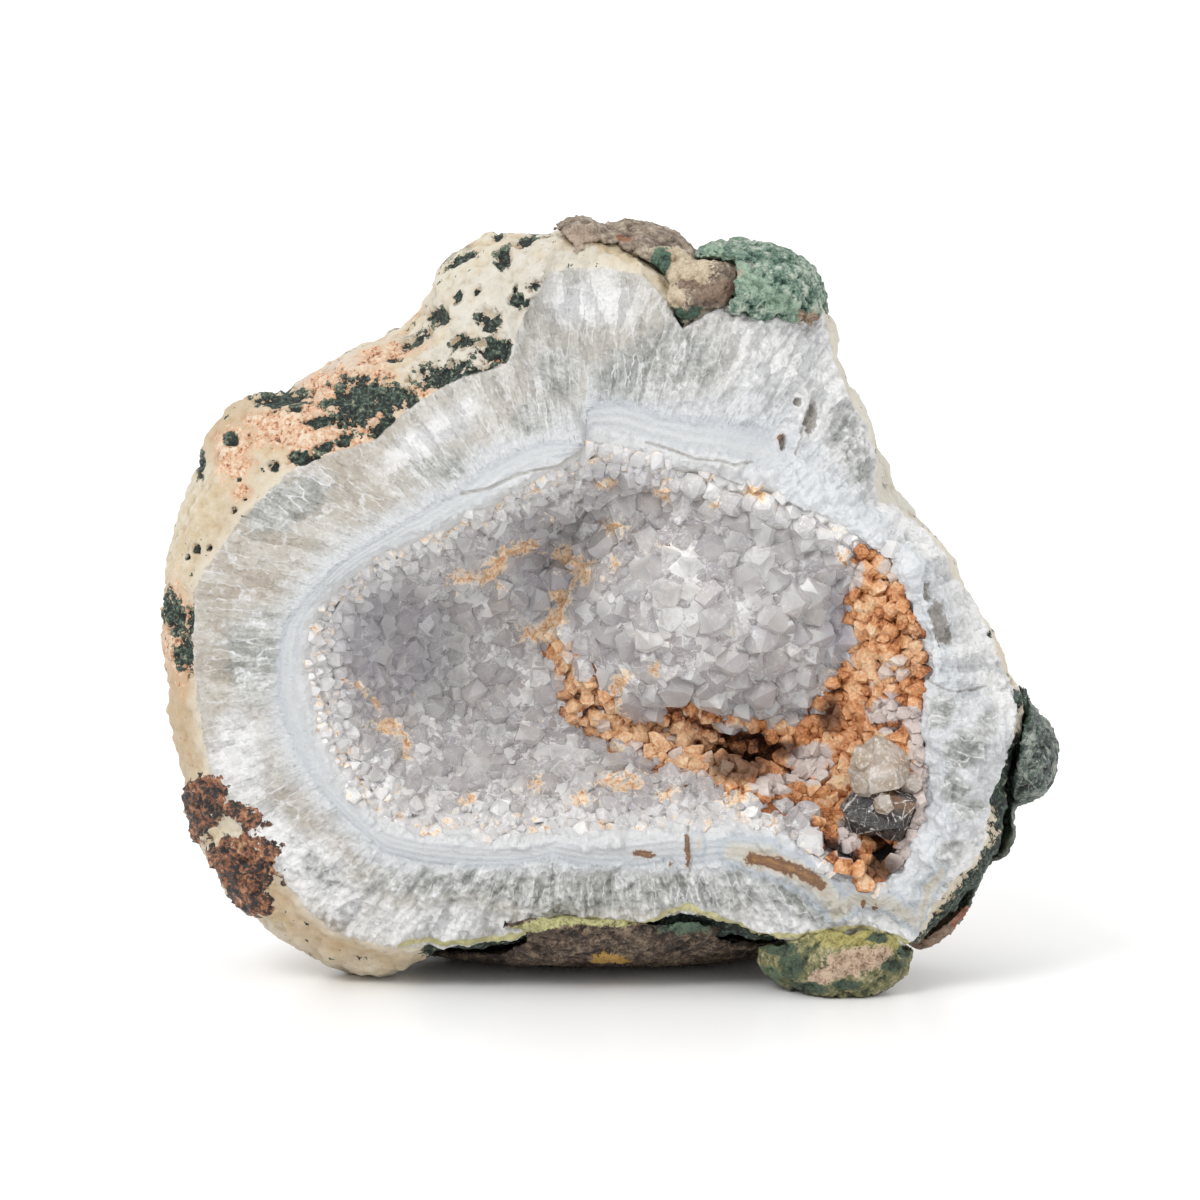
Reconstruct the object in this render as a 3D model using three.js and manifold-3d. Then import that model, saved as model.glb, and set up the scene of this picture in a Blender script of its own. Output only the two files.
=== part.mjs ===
// A broken geode that stands on its edge: a wall of banded agate and fibrous quartz with a cream skin,
// open at the front on a crystal-lined hollow, with basalt and celadonite still stuck to its outside.
// Millimetres, +Z up. The broken face looks along -Y. The origin is on the floor, under the middle.
import * as THREE from "three";
import { mergeVertices } from "three/addons/utils/BufferGeometryUtils.js";
import Module from "manifold-3d";

const wasm = await Module();
wasm.setup();

// ---------------------------------------------------------------- driving dimensions

const HEART = [-2, 60]; // x, z of the middle of the hollow, the centre of all outlines
const BACK_DEPTH = 30; // how far behind the middle the rounded back reaches
const BACK_LUMPS = [[26, 4], [13, 2.2]]; // lumps of the back as [size, height]
const LIP = 2; // how far the wall's lip lies outside the crystals' edge
const GAP = 0.45; // clear space between two pieces that grew together
const BED_GAP = 0.7; // clear space under the bed of the crystals
const BED_THICKNESS = 2;
const POINT_HEIGHTS = [1.6, 4.2]; // least and most that a small crystal point stands out of the bed
const SLENDER = 2.3; // length of a large crystal over its radius
const COLUMNS = 120; // stations around the specimen

// Outlines of the wall as [x, y, z], clockwise from the top as seen from the front.
// The edge of the crystals:
const RIM = [
  [-2.5, -24, 91], [3.6, -23, 89.4], [11.4, -21, 87.2], [21.4, -20, 84.8], [31, -20, 81.1],
  [42.5, -20.5, 75], [46, -21, 73], [48.5, -21, 67.8], [51, -22, 61], [51.8, -22, 56.5],
  [51.5, -23, 46], [52.5, -24, 38], [52, -25, 30], [48, -26, 21.5], [42.5, -27, 18.5],
  [37, -27, 21.3], [33, -27, 25.5], [28.5, -27, 28], [20, -27, 29.8], [9, -26.5, 29.2],
  [-7.5, -26, 28.4], [-24, -25.5, 27.8], [-37, -25, 29.3], [-43.5, -24.5, 36], [-48, -24, 47],
  [-49.6, -24, 56.3], [-47.9, -24, 64.1], [-41.3, -25, 70.8], [-34.8, -25, 74.1], [-27, -26, 77.4],
  [-18.3, -26, 81.9], [-7.4, -25.5, 87.6],
];
// The edge where the broken face meets the outer skin:
const SKIN_EDGE = [
  [-10, -13, 119], [0, -12, 119.5], [6, -12, 118], [12, -12, 110], [20, -9, 114], [25, -7, 116],
  [35, -4, 112.5], [37, -4, 104.5], [39.5, -5, 98], [43, -5, 92], [45, -6, 80.5], [55.5, -6, 72],
  [57.5, -6, 67.5], [64.5, -8, 55.5], [68, -9, 49], [68, -16, 40.5], [63.5, -19, 32], [66, -18, 27],
  [62, -19, 20], [51, -22, 8.5], [44.5, -24, 8], [41.5, -25, 11.5], [30, -24, 9.5], [24, -23, 9.5],
  [15, -23, 14], [5, -22, 12], [-8, -22, 12.5], [-18, -21, 8.5], [-33, -20, 7], [-46, -20, 10],
  [-56, -20, 21], [-65.5, -20, 35], [-68.5, -20, 52], [-68.5, -20, 67.5], [-61, -20, 78.5],
  [-52.5, -18, 87], [-39.5, -18, 91.5], [-30.5, -17, 99], [-17, -17, 104.5], [-15, -12, 110],
];
// The widest girth:
const GIRTH = [
  [-8, 2, 125.5], [2, 3, 122.5], [11, 2, 119], [24, 2, 117.5], [35, 0, 112.5], [38, -1, 108],
  [37.5, -2, 104.5], [40, -2, 98], [43.5, -2, 92.5], [45, -3, 81], [51.5, -3, 75], [56.5, -3, 72],
  [58.5, -3, 67], [65.5, -5, 55], [69, -6, 48], [67.5, -9, 37.5], [65.5, -10, 22.5], [54.5, -12, 9.5],
  [46, -12, 6.5], [20, -10, 7], [-6, -8, 5.5], [-28, -6, 4], [-35, -5, 1.5], [-38, -4, -1],
  [-42.5, -4, -1.5], [-50.5, -5, 2.5], [-62.5, -7, 11], [-69.5, -8, 23], [-72, -8, 33],
  [-75, -8, 55.5], [-75, -8, 65.5], [-73, -6, 77.5], [-70.6, -6, 83.5], [-68.8, -5, 89.5],
  [-64, -4, 96], [-58, -4, 99.2], [-53, -3, 99],
  [-45, -2, 105], [-33, 0, 107.5], [-30, 0, 111], [-30, 0, 117], [-20, 2, 125], [-14, 2, 124.5],
];

// The hollow's floor, and what rises from it, as [x, z, half width, half height, rise].
const FLOOR_DEPTH = -6; // y
const WALL_SHARE = 0.45; // how much of the way from the rim to the heart is wall
const FLOOR_FORMS = [
  [17, 64, 29, 23, 12], // the mound
  [-30, 54, 22, 20, -5], // the bowl on the left
  [-9, 66, 10, 24, -7], // the valley between them
  [6, 41, 20, 8, -5], // the seam under the mound
  [45, 60, 10, 18, -3], // the pocket on the right
];
// Nodules of chalcedony on the lower right of the face, in the same form.
const FACE_NODULES = [
  [60, 42, 10, 10, 4], [58, 27, 9, 8, 3.5], [31, 20, 12, 6, 1.6], [44, 15, 9, 5, 1.6],
];
// Deep pockets in the hollow, as balls with three radii that lean back by an angle.
const POCKETS = [
  { at: [21, -4, 37.5], radii: [8.5, 17, 4.4], lean: -0.15 },
  { at: [45, -14, 23.5], radii: [5, 12, 3.6], lean: 0 },
];

// What broke away at the top, as [x, z]. Its lower left side is a step in the face: a curved crack.
const UPPER_BREAK = [
  [-16, 105.5], [-9.5, 101], [-5.5, 96], [-4, 91], [-4, 75], [40, 75], [40, 140], [-9, 140],
  [-10, 121], [-14, 112],
];
const UPPER_BREAK_FOOT = [-17.5, 90]; // y, z that its back passes through
const UPPER_BREAK_LEAN = THREE.MathUtils.degToRad(17); // how far its back leans away from the front
const UPPER_BREAK_TURN = THREE.MathUtils.degToRad(8); // how far its back turns to the left

// Where iron-stained crystals cover the hollow, as [x, z].
const OCHRE_PATCH = [
  [41, 75], [45, 73], [49.5, 66], [54, 60], [53, 51], [54, 44], [56, 30], [52, 20], [40, 19],
  [34, 25], [31, 33], [22, 34], [10, 36], [-1, 38], [-8, 46], [-9, 55], [-5, 58], [-2, 52],
  [4, 46.5], [14, 46], [24, 43.5], [34, 43.5], [36, 50], [41, 55], [40, 64], [42, 70],
];
// The crystals that stand up among the small ones, as [x, z, radius, lean along x, lean along z].
const LARGE_CRYSTALS = [
  [6, 75, 3.6, 0, 0.2], [-45, 62, 3.2, 0.2, -0.2], [18, 84, 3.2, 0, -0.2], [-18, 33, 3, 0.1, 0.2],
  [31, 58, 2.9, 0.2, -0.2], [13, 52, 2.8, -0.2, -0.1],
];
const LARGE_OCHRE_CRYSTALS = [
  [45, 54, 3.8, -0.1, 0.1], [34, 38, 3.4, -0.1, 0.2], [46, 66, 2.8, 0, -0.1],
];
// The smoky crystal: its outline as [x, z], how deep it goes, and the flat faces that cut it, each as
// the point it passes through and its turns about X and about Z.
const SMOKY_OUTLINE = [
  [41, 45.5], [47, 47], [52, 37], [53, 30.5], [50, 25.5], [44.5, 24.5], [40.5, 31], [39, 38],
];
const SMOKY_DEPTHS = [-31, -13];
const SMOKY_FACES = [
  { through: [46, -28.5, 38], turnX: -0.62, turnZ: 0.1 },
  { through: [46, -29.5, 30], turnX: 0.28, turnZ: -0.3 },
  { through: [50, -27, 33], turnX: 0, turnZ: 0.75 },
];

// The rocks stuck to the outside, each made of one or more lumpy balls.
const ROCKS = {
  base: [{ at: [-3, 3, 8.2], radii: [42, 27, 9], turn: [-0.14, 0, 0], lumps: 0.09, lumpSize: 12 }],
  foot: [{ at: [38, -18.5, 5.8], radii: [13, 10, 8], turn: [0, -0.06, 0.1], lumps: 0.16 }],
  knob: [
    { at: [66, -5, 37.4], radii: [9, 12, 10], lumps: 0.2, lumpSize: 7 },
    { at: [66.5, -6, 46], radii: [4, 8, 5], detail: 1 },
    { at: [62.2, -5, 25.5], radii: [5.5, 13, 8], turn: [0, 0.25, 0], lumps: 0.2, lumpSize: 7 },
    { at: [56, -5, 13.5], radii: [5, 13, 10], turn: [0, 0.6, 0], lumps: 0.2, lumpSize: 7 },
  ],
  cap: [
    { at: [3, 4, 117.5], radii: [12, 12, 9], lumpSize: 8 },
    { at: [-5.5, 0, 122.3], radii: [6, 8, 5.5], lumps: 0.05 },
    { at: [15, -5.5, 116], radii: [7.5, 7, 5], lumps: 0.15, lumpSize: 7 },
    { at: [11.5, -10.5, 113.5], radii: [3.5, 3.5, 4], detail: 1 },
  ],
  celadonite: [{ at: [24, 2, 114.3], radii: [13.6, 14, 9.2], turn: [0, 0.25, 0], lumps: 0.14 }],
};

// ---------------------------------------------------------------- chance and roughness

/** A repeatable random generator that gives numbers from 0 to 1. */
function seeded(seed) {
  let state = seed;
  return () => {
    state = (state + 0x6d2b79f5) | 0;
    let mixed = Math.imul(state ^ (state >>> 15), 1 | state);
    mixed = (mixed + Math.imul(mixed ^ (mixed >>> 7), 61 | mixed)) ^ mixed;
    return ((mixed ^ (mixed >>> 14)) >>> 0) / 4294967296;
  };
}

/** The random value, from -1 to 1, that belongs to one corner of a lattice. */
function cornerValue(i, j, k) {
  const large = Math.sin(i * 127.1 + j * 311.7 + k * 74.7) * 43758.5453;
  return 2 * (large - Math.floor(large)) - 1;
}

/** Smooth roughness from -1 to 1 at a point, with lumps of about the given size. */
function roughness(point, size) {
  const cell = [point.x, point.y, point.z].map((value) => Math.floor(value / size));
  const share = [point.x, point.y, point.z].map((value, axis) => {
    const part = value / size - cell[axis];
    return part * part * (3 - 2 * part);
  });
  let sum = 0;
  for (let corner = 0; corner < 8; corner += 1) {
    const step = [corner & 1, (corner >> 1) & 1, corner >> 2];
    const weight = step.reduce((so, one, axis) => so * (one ? share[axis] : 1 - share[axis]), 1);
    sum += weight * cornerValue(cell[0] + step[0], cell[1] + step[1], cell[2] + step[2]);
  }
  return sum;
}

// ---------------------------------------------------------------- solids

/** A closed geometry as a solid that can be joined and cut. */
function solidOf(geometry) {
  const bare = geometry.clone();
  bare.deleteAttribute("normal");
  bare.deleteAttribute("uv");
  const merged = mergeVertices(bare, 1e-3);
  const mesh = new wasm.Mesh({
    numProp: 3,
    vertProperties: merged.attributes.position.array,
    triVerts: new Uint32Array(merged.index.array),
  });
  mesh.merge();
  return new wasm.Manifold(mesh);
}

/** A solid as a geometry, keeping only its largest body. */
function geometryOf(solid) {
  const larger = (one, other) => (other.volume() > one.volume() ? other : one);
  const mesh = solid.decompose().reduce(larger).getMesh();
  return new THREE.BufferGeometry()
    .setAttribute("position", new THREE.BufferAttribute(mesh.vertProperties, 3))
    .setIndex(new THREE.BufferAttribute(mesh.triVerts, 1));
}

/** For every corner of a geometry, the move that carries each of its faces out by one millimetre. */
function outwardMoves(geometry) {
  geometry.computeVertexNormals();
  const { position, normal } = geometry.attributes;
  const index = geometry.index.array;
  const facingAt = (_, i) => new THREE.Vector3().fromBufferAttribute(normal, i);
  const moves = Array.from({ length: position.count }, facingAt);
  const least = moves.map(() => 1);
  const triangle = new THREE.Triangle();
  const facing = new THREE.Vector3();
  for (let i = 0; i < index.length; i += 3) {
    triangle.setFromAttributeAndIndices(position, index[i], index[i + 1], index[i + 2]);
    triangle.getNormal(facing);
    for (let k = i; k < i + 3; k += 1) {
      least[index[k]] = Math.min(least[index[k]], Math.max(0.45, moves[index[k]].dot(facing)));
    }
  }
  return moves.map((move, i) => move.divideScalar(least[i]));
}

/** The solid grown by a margin on all sides. */
function grown(solid, margin) {
  const geometry = geometryOf(solid);
  const position = geometry.attributes.position;
  const point = new THREE.Vector3();
  outwardMoves(geometry).forEach((move, i) => {
    point.fromBufferAttribute(position, i).addScaledVector(move, margin);
    position.setXYZ(i, point.x, point.y, point.z);
  });
  return solidOf(geometry);
}

const [BEFORE, BEHIND] = [-70, 30]; // depths, y, in front of and behind all that is cut

/** An outline of [x, z] points made solid between two depths. */
function frontPrism(points, nearDepth, farDepth) {
  const outline = new THREE.Shape(points.map(([x, z]) => new THREE.Vector2(x, z)));
  const depth = farDepth - nearDepth;
  const geometry = new THREE.ExtrudeGeometry(outline, { depth, bevelEnabled: false });
  return geometry.rotateX(Math.PI / 2).translate(0, farDepth, 0);
}

/** A lumpy ball with its own radii, turned and put in place. */
function lumpyBall({ at, radii, turn = [0, 0, 0], detail = 2, lumps = 0.12, lumpSize = 9 }) {
  const geometry = new THREE.IcosahedronGeometry(1, detail);
  const position = geometry.attributes.position;
  const place = new THREE.Matrix4().compose(
    new THREE.Vector3(...at),
    new THREE.Quaternion().setFromEuler(new THREE.Euler(...turn)),
    new THREE.Vector3(...radii),
  );
  const point = new THREE.Vector3();
  const centre = new THREE.Vector3(...at);
  for (let i = 0; i < position.count; i += 1) {
    point.fromBufferAttribute(position, i).applyMatrix4(place);
    const swell = 1 + lumps * roughness(point, lumpSize) + 0.5 * lumps * roughness(point, lumpSize / 2);
    point.sub(centre).multiplyScalar(swell).add(centre);
    position.setXYZ(i, point.x, point.y, point.z);
  }
  return solidOf(geometry);
}

/** Lumpy balls joined into one rock. */
function rock(balls) {
  return wasm.Manifold.union(balls.map(lumpyBall));
}

// ---------------------------------------------------------------- the wall of the geode

/** A closed outline with a margin outside it, read as radius and depth by angle around the heart. */
class Outline {
  constructor(points, margin = 0) {
    const stations = points.map((p) => new THREE.Vector3(...p));
    this.curve = new THREE.CatmullRomCurve3(stations, true, "centripetal");
    this.stations = this.curve.getSpacedPoints(720).map((p) => ({
      angle: Math.atan2(p.z - HEART[1], p.x - HEART[0]),
      radius: Math.hypot(p.x - HEART[0], p.z - HEART[1]) + margin,
      depth: p.y,
    }));
    this.stations.sort((one, other) => one.angle - other.angle);
  }

  /** Radius and depth at an angle, between the two nearest stations. */
  at(angle) {
    const last = this.stations.length - 1;
    let after = this.stations.findIndex((station) => station.angle >= angle);
    if (after < 0) after = 0;
    const before = after === 0 ? last : after - 1;
    const [one, other] = [this.stations[before], this.stations[after]];
    const span = (other.angle - one.angle + 2 * Math.PI) % (2 * Math.PI) || 1;
    const share = ((angle - one.angle + 2 * Math.PI) % (2 * Math.PI)) / span;
    return {
      radius: THREE.MathUtils.lerp(one.radius, other.radius, share),
      depth: THREE.MathUtils.lerp(one.depth, other.depth, share),
    };
  }
}

/** The summed rise of a list of rounded forms at x, z. */
function riseOf(forms, x, z) {
  return forms.reduce((sum, [midX, midZ, halfX, halfZ, rise]) => {
    const away = Math.hypot((x - midX) / halfX, (z - midZ) / halfZ);
    return away < 1 ? sum + rise * (1 - away * away) ** 1.5 : sum;
  }, 0);
}

const rim = new Outline(RIM, LIP);
const skinEdge = new Outline(SKIN_EDGE);
const girth = new Outline(GIRTH);

/** The girth's radius at an angle, evened out over a wide arc. */
function evenRadius(angle) {
  const steps = [-3, -2, -1, 0, 1, 2, 3];
  const { euclideanModulo } = THREE.MathUtils;
  const turned = (step) => euclideanModulo(angle + step * 0.2 + Math.PI, 2 * Math.PI) - Math.PI;
  const radii = steps.map((step) => girth.at(turned(step)).radius);
  return radii.reduce((sum, radius) => sum + radius) / radii.length;
}

const columnAngles = girth.curve
  .getSpacedPoints(COLUMNS)
  .slice(0, COLUMNS)
  .map((p) => Math.atan2(p.z - HEART[1], p.x - HEART[0]))
  .sort((one, other) => one - other);

/** The point at an angle, radius and depth around the heart. */
function around(angle, radius, depth) {
  const [x, z] = [radius * Math.cos(angle), radius * Math.sin(angle)];
  return new THREE.Vector3(HEART[0] + x, depth, HEART[1] + z);
}

// Rows of the hollow as [share of the way from the heart to the rim, how many columns].
const HOLLOW_ROWS = [[0.2, 15], [0.4, 30], [0.6, 30], [0.78, 60], [0.95, 60]];
// Rows of the crystal bed in the same form, as fine as its small crystals.
const BED_ROWS = [
  [0.06, 15], [0.13, 15], [0.19, 30], [0.25, 30], [0.31, 30], [0.37, 60], [0.43, 60], [0.49, 60],
  [0.55, 60], [0.61, 60], [0.68, 120], [0.75, 120], [0.82, 120], [0.9, 120], [0.98, 120],
];

/** A point on the hollow's floor or wall, where share is 0 at the heart and 1 at the rim. */
function hollowPoint(angle, share) {
  const edge = rim.at(angle);
  const point = around(angle, edge.radius * share, edge.depth);
  const floor = FLOOR_DEPTH - riseOf(FLOOR_FORMS, point.x, point.z);
  const wall = Math.sin(Math.min(1, (1 - share) / WALL_SHARE) * (Math.PI / 2));
  point.y = THREE.MathUtils.lerp(edge.depth, floor, wall) + 0.6 * roughness(point, 12) * wall;
  return point;
}

/** A point on the broken face, where share is 0 at the rim and 1 at the edge of the skin. */
function facePoint(angle, share) {
  const [inner, outer] = [rim.at(angle), skinEdge.at(angle)];
  const radius = THREE.MathUtils.lerp(inner.radius, outer.radius, share);
  const point = around(angle, radius, THREE.MathUtils.lerp(inner.depth, outer.depth, share));
  point.y -= riseOf(FACE_NODULES, point.x, point.z);
  point.y += 0.7 * roughness(point, 9) * Math.sin(Math.PI * share);
  return point;
}

/** A point on the skin between its edge on the face, share 0, and the girth, share 1. */
function skinPoint(angle, share) {
  const [inner, outer] = [skinEdge.at(angle), girth.at(angle)];
  const bulge = Math.sin(share * (Math.PI / 2));
  return around(
    angle,
    THREE.MathUtils.lerp(inner.radius, outer.radius, bulge),
    THREE.MathUtils.lerp(inner.depth, outer.depth, share ** 1.3),
  );
}

/** A point on the rounded back, where share is 0 at the girth and 1 at the middle of the back. */
function backPoint(angle, share) {
  const edge = girth.at(angle);
  const turn = share * (Math.PI / 2);
  const radius = THREE.MathUtils.lerp(edge.radius, evenRadius(angle), Math.min(1, share * 2.2));
  const point = around(
    angle,
    radius * Math.cos(turn) ** 0.72,
    THREE.MathUtils.lerp(edge.depth, BACK_DEPTH, Math.sin(turn) ** 0.9),
  );
  const lump = BACK_LUMPS.reduce((sum, [size, height]) => sum + height * roughness(point, size), 0);
  const outward = new THREE.Vector3(point.x - HEART[0], 1.6 * point.y, point.z - HEART[1]).normalize();
  return point.addScaledVector(outward, lump * Math.sin(Math.PI * share) ** 0.5);
}

/** One row of points around the heart, with its own number of columns. */
function ring(place, share, count = COLUMNS) {
  return Array.from({ length: count }, (_, i) => place(columnAngles[(i * COLUMNS) / count], share));
}

/** The heart of the hollow and the rows around it. */
function hollow(rows) {
  return [[hollowPoint(0, 0)], ...rows.map(([share, count]) => ring(hollowPoint, share, count))];
}

/** The rows of points from the heart of the hollow, over face and skin, to the middle of the back. */
function wallRows(inner) {
  return [
    ...inner,
    ...[0, 0.45].map((share) => ring(facePoint, share)),
    ...[0, 0.5, 1].map((share) => ring(skinPoint, share)),
    ring(backPoint, 0.15, 60),
    ring(backPoint, 0.31, 60),
    ring(backPoint, 0.47, 60),
    ring(backPoint, 0.63, 60),
    ring(backPoint, 0.8, 30),
    [backPoint(0, 1)],
  ];
}

/**
 * A closed geometry from rows of points. The first and last rows are one point, and the rows after
 * the turn come back.
 */
function closedRows(rows, turn = rows.length) {
  const starts = [];
  const coordinates = [];
  rows.forEach((row) => {
    starts.push(coordinates.length / 3);
    row.forEach((point) => coordinates.push(point.x, point.y, point.z));
  });
  const indices = [];
  const place = (row, column) => {
    const passed = (column % COLUMNS) * rows[row].length;
    return starts[row] + Math.floor(passed / COLUMNS);
  };
  for (let row = 0; row + 1 < rows.length; row += 1) {
    for (let column = 0; column < COLUMNS; column += 1) {
      const [near, nearNext] = [place(row, column), place(row, column + 1)];
      const [far, farNext] = [place(row + 1, column), place(row + 1, column + 1)];
      const forth = row < turn;
      if (near !== nearNext) indices.push(near, forth ? farNext : far, nearNext);
      if (far !== farNext) indices.push(forth ? near : nearNext, far, farNext);
    }
  }
  return new THREE.BufferGeometry()
    .setAttribute("position", new THREE.BufferAttribute(new Float32Array(coordinates), 3))
    .setIndex(indices);
}

/** The floor that everything stands on, as a slab that cuts flat feet. */
function floorSlab() {
  return solidOf(new THREE.BoxGeometry(400, 400, 40).translate(0, 0, -20));
}

/** What broke away at the top: an outline made solid, whose back leans and turns. */
function upperBreak() {
  const [footY, footZ] = UPPER_BREAK_FOOT;
  const geometry = frontPrism(UPPER_BREAK, BEFORE, 0);
  const position = geometry.attributes.position;
  for (let i = 0; i < position.count; i += 1) {
    const lean = Math.tan(UPPER_BREAK_LEAN) * (position.getZ(i) - footZ);
    const turn = Math.tan(UPPER_BREAK_TURN) * position.getX(i);
    if (position.getY(i) > BEFORE / 2) position.setY(i, footY + lean - turn);
  }
  return solidOf(geometry);
}

/** The deep pockets of the hollow. */
function pockets() {
  const balls = POCKETS.map(({ at, radii, lean }) =>
    solidOf(new THREE.IcosahedronGeometry(1, 1).scale(...radii).rotateX(lean).translate(...at)));
  return wasm.Manifold.union(balls);
}

/** The wall of the geode with its hollow, its pockets and its broken face. */
function makeWall() {
  return solidOf(closedRows(wallRows(hollow(HOLLOW_ROWS))))
    .subtract(pockets())
    .subtract(upperBreak())
    .subtract(floorSlab());
}

// ---------------------------------------------------------------- crusts in the hollow

/** The moves that lead one millimetre out of the wall, for each point of the hollow's rows. */
function movesOut(rows) {
  const moves = outwardMoves(closedRows(wallRows(rows)));
  return rows.map((row) => row.map(() => moves.shift()));
}

/** The hollow's rows moved out of the wall, each point by its own distance. */
function lifted(rows, distance) {
  const moves = movesOut(rows);
  const moved = (point, r, c) => point.clone().addScaledVector(moves[r][c], distance(r, c));
  return rows.map((row, r) => row.map((point, c) => moved(point, r, c)));
}

/**
 * The bed that the crystals stand on: a closed sheet that follows the hollow. Every third point of
 * its front is pulled out, so that six-sided crystal points cover it.
 */
function crystalBed() {
  const chance = seeded(3);
  const height = () => THREE.MathUtils.lerp(...POINT_HEIGHTS, chance() ** 1.5);
  const pulled = (r, c) => ((r + c) % 3 === 0 ? height() : 0);
  const front = lifted(hollow(BED_ROWS), (r, c) => BED_GAP + BED_THICKNESS + pulled(r, c));
  const back = lifted(hollow(HOLLOW_ROWS), () => BED_GAP);
  return solidOf(closedRows([...front, ...back.reverse()], front.length));
}

/** A quartz crystal with six sides and a pointed end, from its root along +Y. */
function quartzPoint(radius, length) {
  const profile = [
    [0, 0],
    [radius * 0.94, 0],
    [radius, length * 0.52],
    [0, length],
  ];
  return new THREE.LatheGeometry(profile.map(([x, y]) => new THREE.Vector2(x, y)), 6);
}

/** A crystal that stands at a place and points along a direction. */
function standing(geometry, place, direction, spin) {
  const turn = new THREE.Quaternion().setFromUnitVectors(new THREE.Vector3(0, 1, 0), direction);
  return solidOf(geometry.rotateY(spin).applyQuaternion(turn).translate(place.x, place.y, place.z));
}

/** The large crystals of one crust, each standing on the bed where it is asked for, as one solid. */
function largeCrystals(wanted) {
  const rows = hollow(BED_ROWS);
  const moves = movesOut(rows).flat();
  const points = rows.flat();
  const crystals = wanted.map(([x, z, radius, leanX, leanZ]) => {
    const away = (point) => Math.hypot(point.x - x, point.z - z);
    const nearest = points.reduce((best, point, i) => (away(point) < away(points[best]) ? i : best), 0);
    const out = moves[nearest].normalize();
    const direction = out.clone().add(new THREE.Vector3(leanX, 0, leanZ)).normalize();
    const place = points[nearest].clone().addScaledVector(out, BED_GAP + BED_THICKNESS * 0.9);
    return standing(quartzPoint(radius, radius * SLENDER), place, direction, x);
  });
  return wasm.Manifold.union(crystals).subtract(wallGrown);
}

/** The clear crystals that line the hollow: all of the bed outside the ochre patch. */
function makeDruse(bed, others) {
  return bed
    .add(largeCrystals(LARGE_CRYSTALS))
    .subtract(solidOf(frontPrism(OCHRE_PATCH, BEFORE, BEHIND)))
    .subtract(others);
}

/** The iron-stained crystals on the right of the hollow and in the seam. */
function makeOchre(bed, others) {
  return bed
    .add(largeCrystals(LARGE_OCHRE_CRYSTALS))
    .intersect(grown(solidOf(frontPrism(OCHRE_PATCH, BEFORE, BEHIND)), -GAP))
    .subtract(others);
}

/** All that lies in front of a flat face. */
function inFrontOf({ through, turnX, turnZ }) {
  const block = new THREE.BoxGeometry(60, 30, 60).translate(0, -15, 0);
  return solidOf(block.rotateX(turnX).rotateZ(turnZ).translate(...through));
}

/** The large smoky crystal. */
function makeSmokyCrystal() {
  return solidOf(frontPrism(SMOKY_OUTLINE, ...SMOKY_DEPTHS))
    .subtract(wasm.Manifold.union(SMOKY_FACES.map(inFrontOf)));
}

// ---------------------------------------------------------------- the specimen

/** A finish that isn't metal. */
function finish(color, roughness) {
  return new THREE.MeshStandardMaterial({ color, roughness, metalness: 0 });
}

const materials = {
  wall: finish(0xdcd6cb, 0.6),
  druse: finish(0xc9c6d0, 0.15),
  ochre: finish(0xc98a4e, 0.45),
  smoky: finish(0x6b5a4c, 0.15),
  brownBasalt: finish(0x4c3f35, 0.8),
  darkBasalt: finish(0x37423d, 0.8),
  olive: finish(0x8f9160, 0.8),
  celadonite: finish(0x5f8069, 0.8),
};

/** One named piece of the specimen. */
function piece(name, solid, material) {
  const mesh = new THREE.Mesh(geometryOf(solid), material);
  mesh.name = name;
  return mesh;
}

const wall = makeWall();
const wallGrown = grown(wall, GAP);
const onWall = (solid) => solid.subtract(wallGrown).subtract(floorSlab());

const greenFoot = onWall(rock(ROCKS.foot));
const footGrown = grown(greenFoot, GAP);
const basaltBase = onWall(rock(ROCKS.base)).subtract(footGrown);
const basaltKnob = onWall(rock(ROCKS.knob)).subtract(footGrown).subtract(grown(basaltBase, GAP));
const basaltCap = onWall(rock(ROCKS.cap));
const celadoniteCap = onWall(rock(ROCKS.celadonite)).subtract(grown(basaltCap, GAP));
const smokyCrystal = onWall(makeSmokyCrystal()).subtract(wall.translate([0, -GAP, 0]));
const smokyGrown = grown(smokyCrystal, GAP);
const bed = crystalBed().subtract(pockets()).subtract(wallGrown);

const specimen = new THREE.Group();
specimen.add(
  piece("geode_wall", wall, materials.wall),
  piece("quartz_druse", makeDruse(bed, smokyGrown), materials.druse),
  piece("ochre_crystals", makeOchre(bed, smokyGrown), materials.ochre),
  piece("smoky_crystal", smokyCrystal, materials.smoky),
  piece("basalt_base", basaltBase, materials.brownBasalt),
  piece("green_foot", greenFoot, materials.olive),
  piece("basalt_knob", basaltKnob, materials.darkBasalt),
  piece("basalt_cap", basaltCap, materials.brownBasalt),
  piece("celadonite_cap", celadoniteCap, materials.celadonite),
);

// The origin goes to the floor, under the middle of the specimen.
const extent = new THREE.Box3().setFromObject(specimen);
const middle = extent.getCenter(new THREE.Vector3());
specimen.position.set(-middle.x, -middle.y, -extent.min.z);

export default specimen;
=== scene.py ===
"""The looks of a quartz geode specimen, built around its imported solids.

Shapes are worked out in millimetres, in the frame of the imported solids, and written to the meshes in metres.
"""

import itertools
import logging
import math
from collections.abc import Iterable, Iterator, Mapping, Sequence
from dataclasses import dataclass, field
from enum import Enum
from typing import Any, NamedTuple

import bmesh
import bpy
import numpy as np
from bpy.types import ColorRamp, Material, Mesh, Node, NodeSocket, Object, World, bpy_prop_collection
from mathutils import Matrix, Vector
from mathutils.bvhtree import BVHTree
from mathutils.kdtree import KDTree


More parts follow.
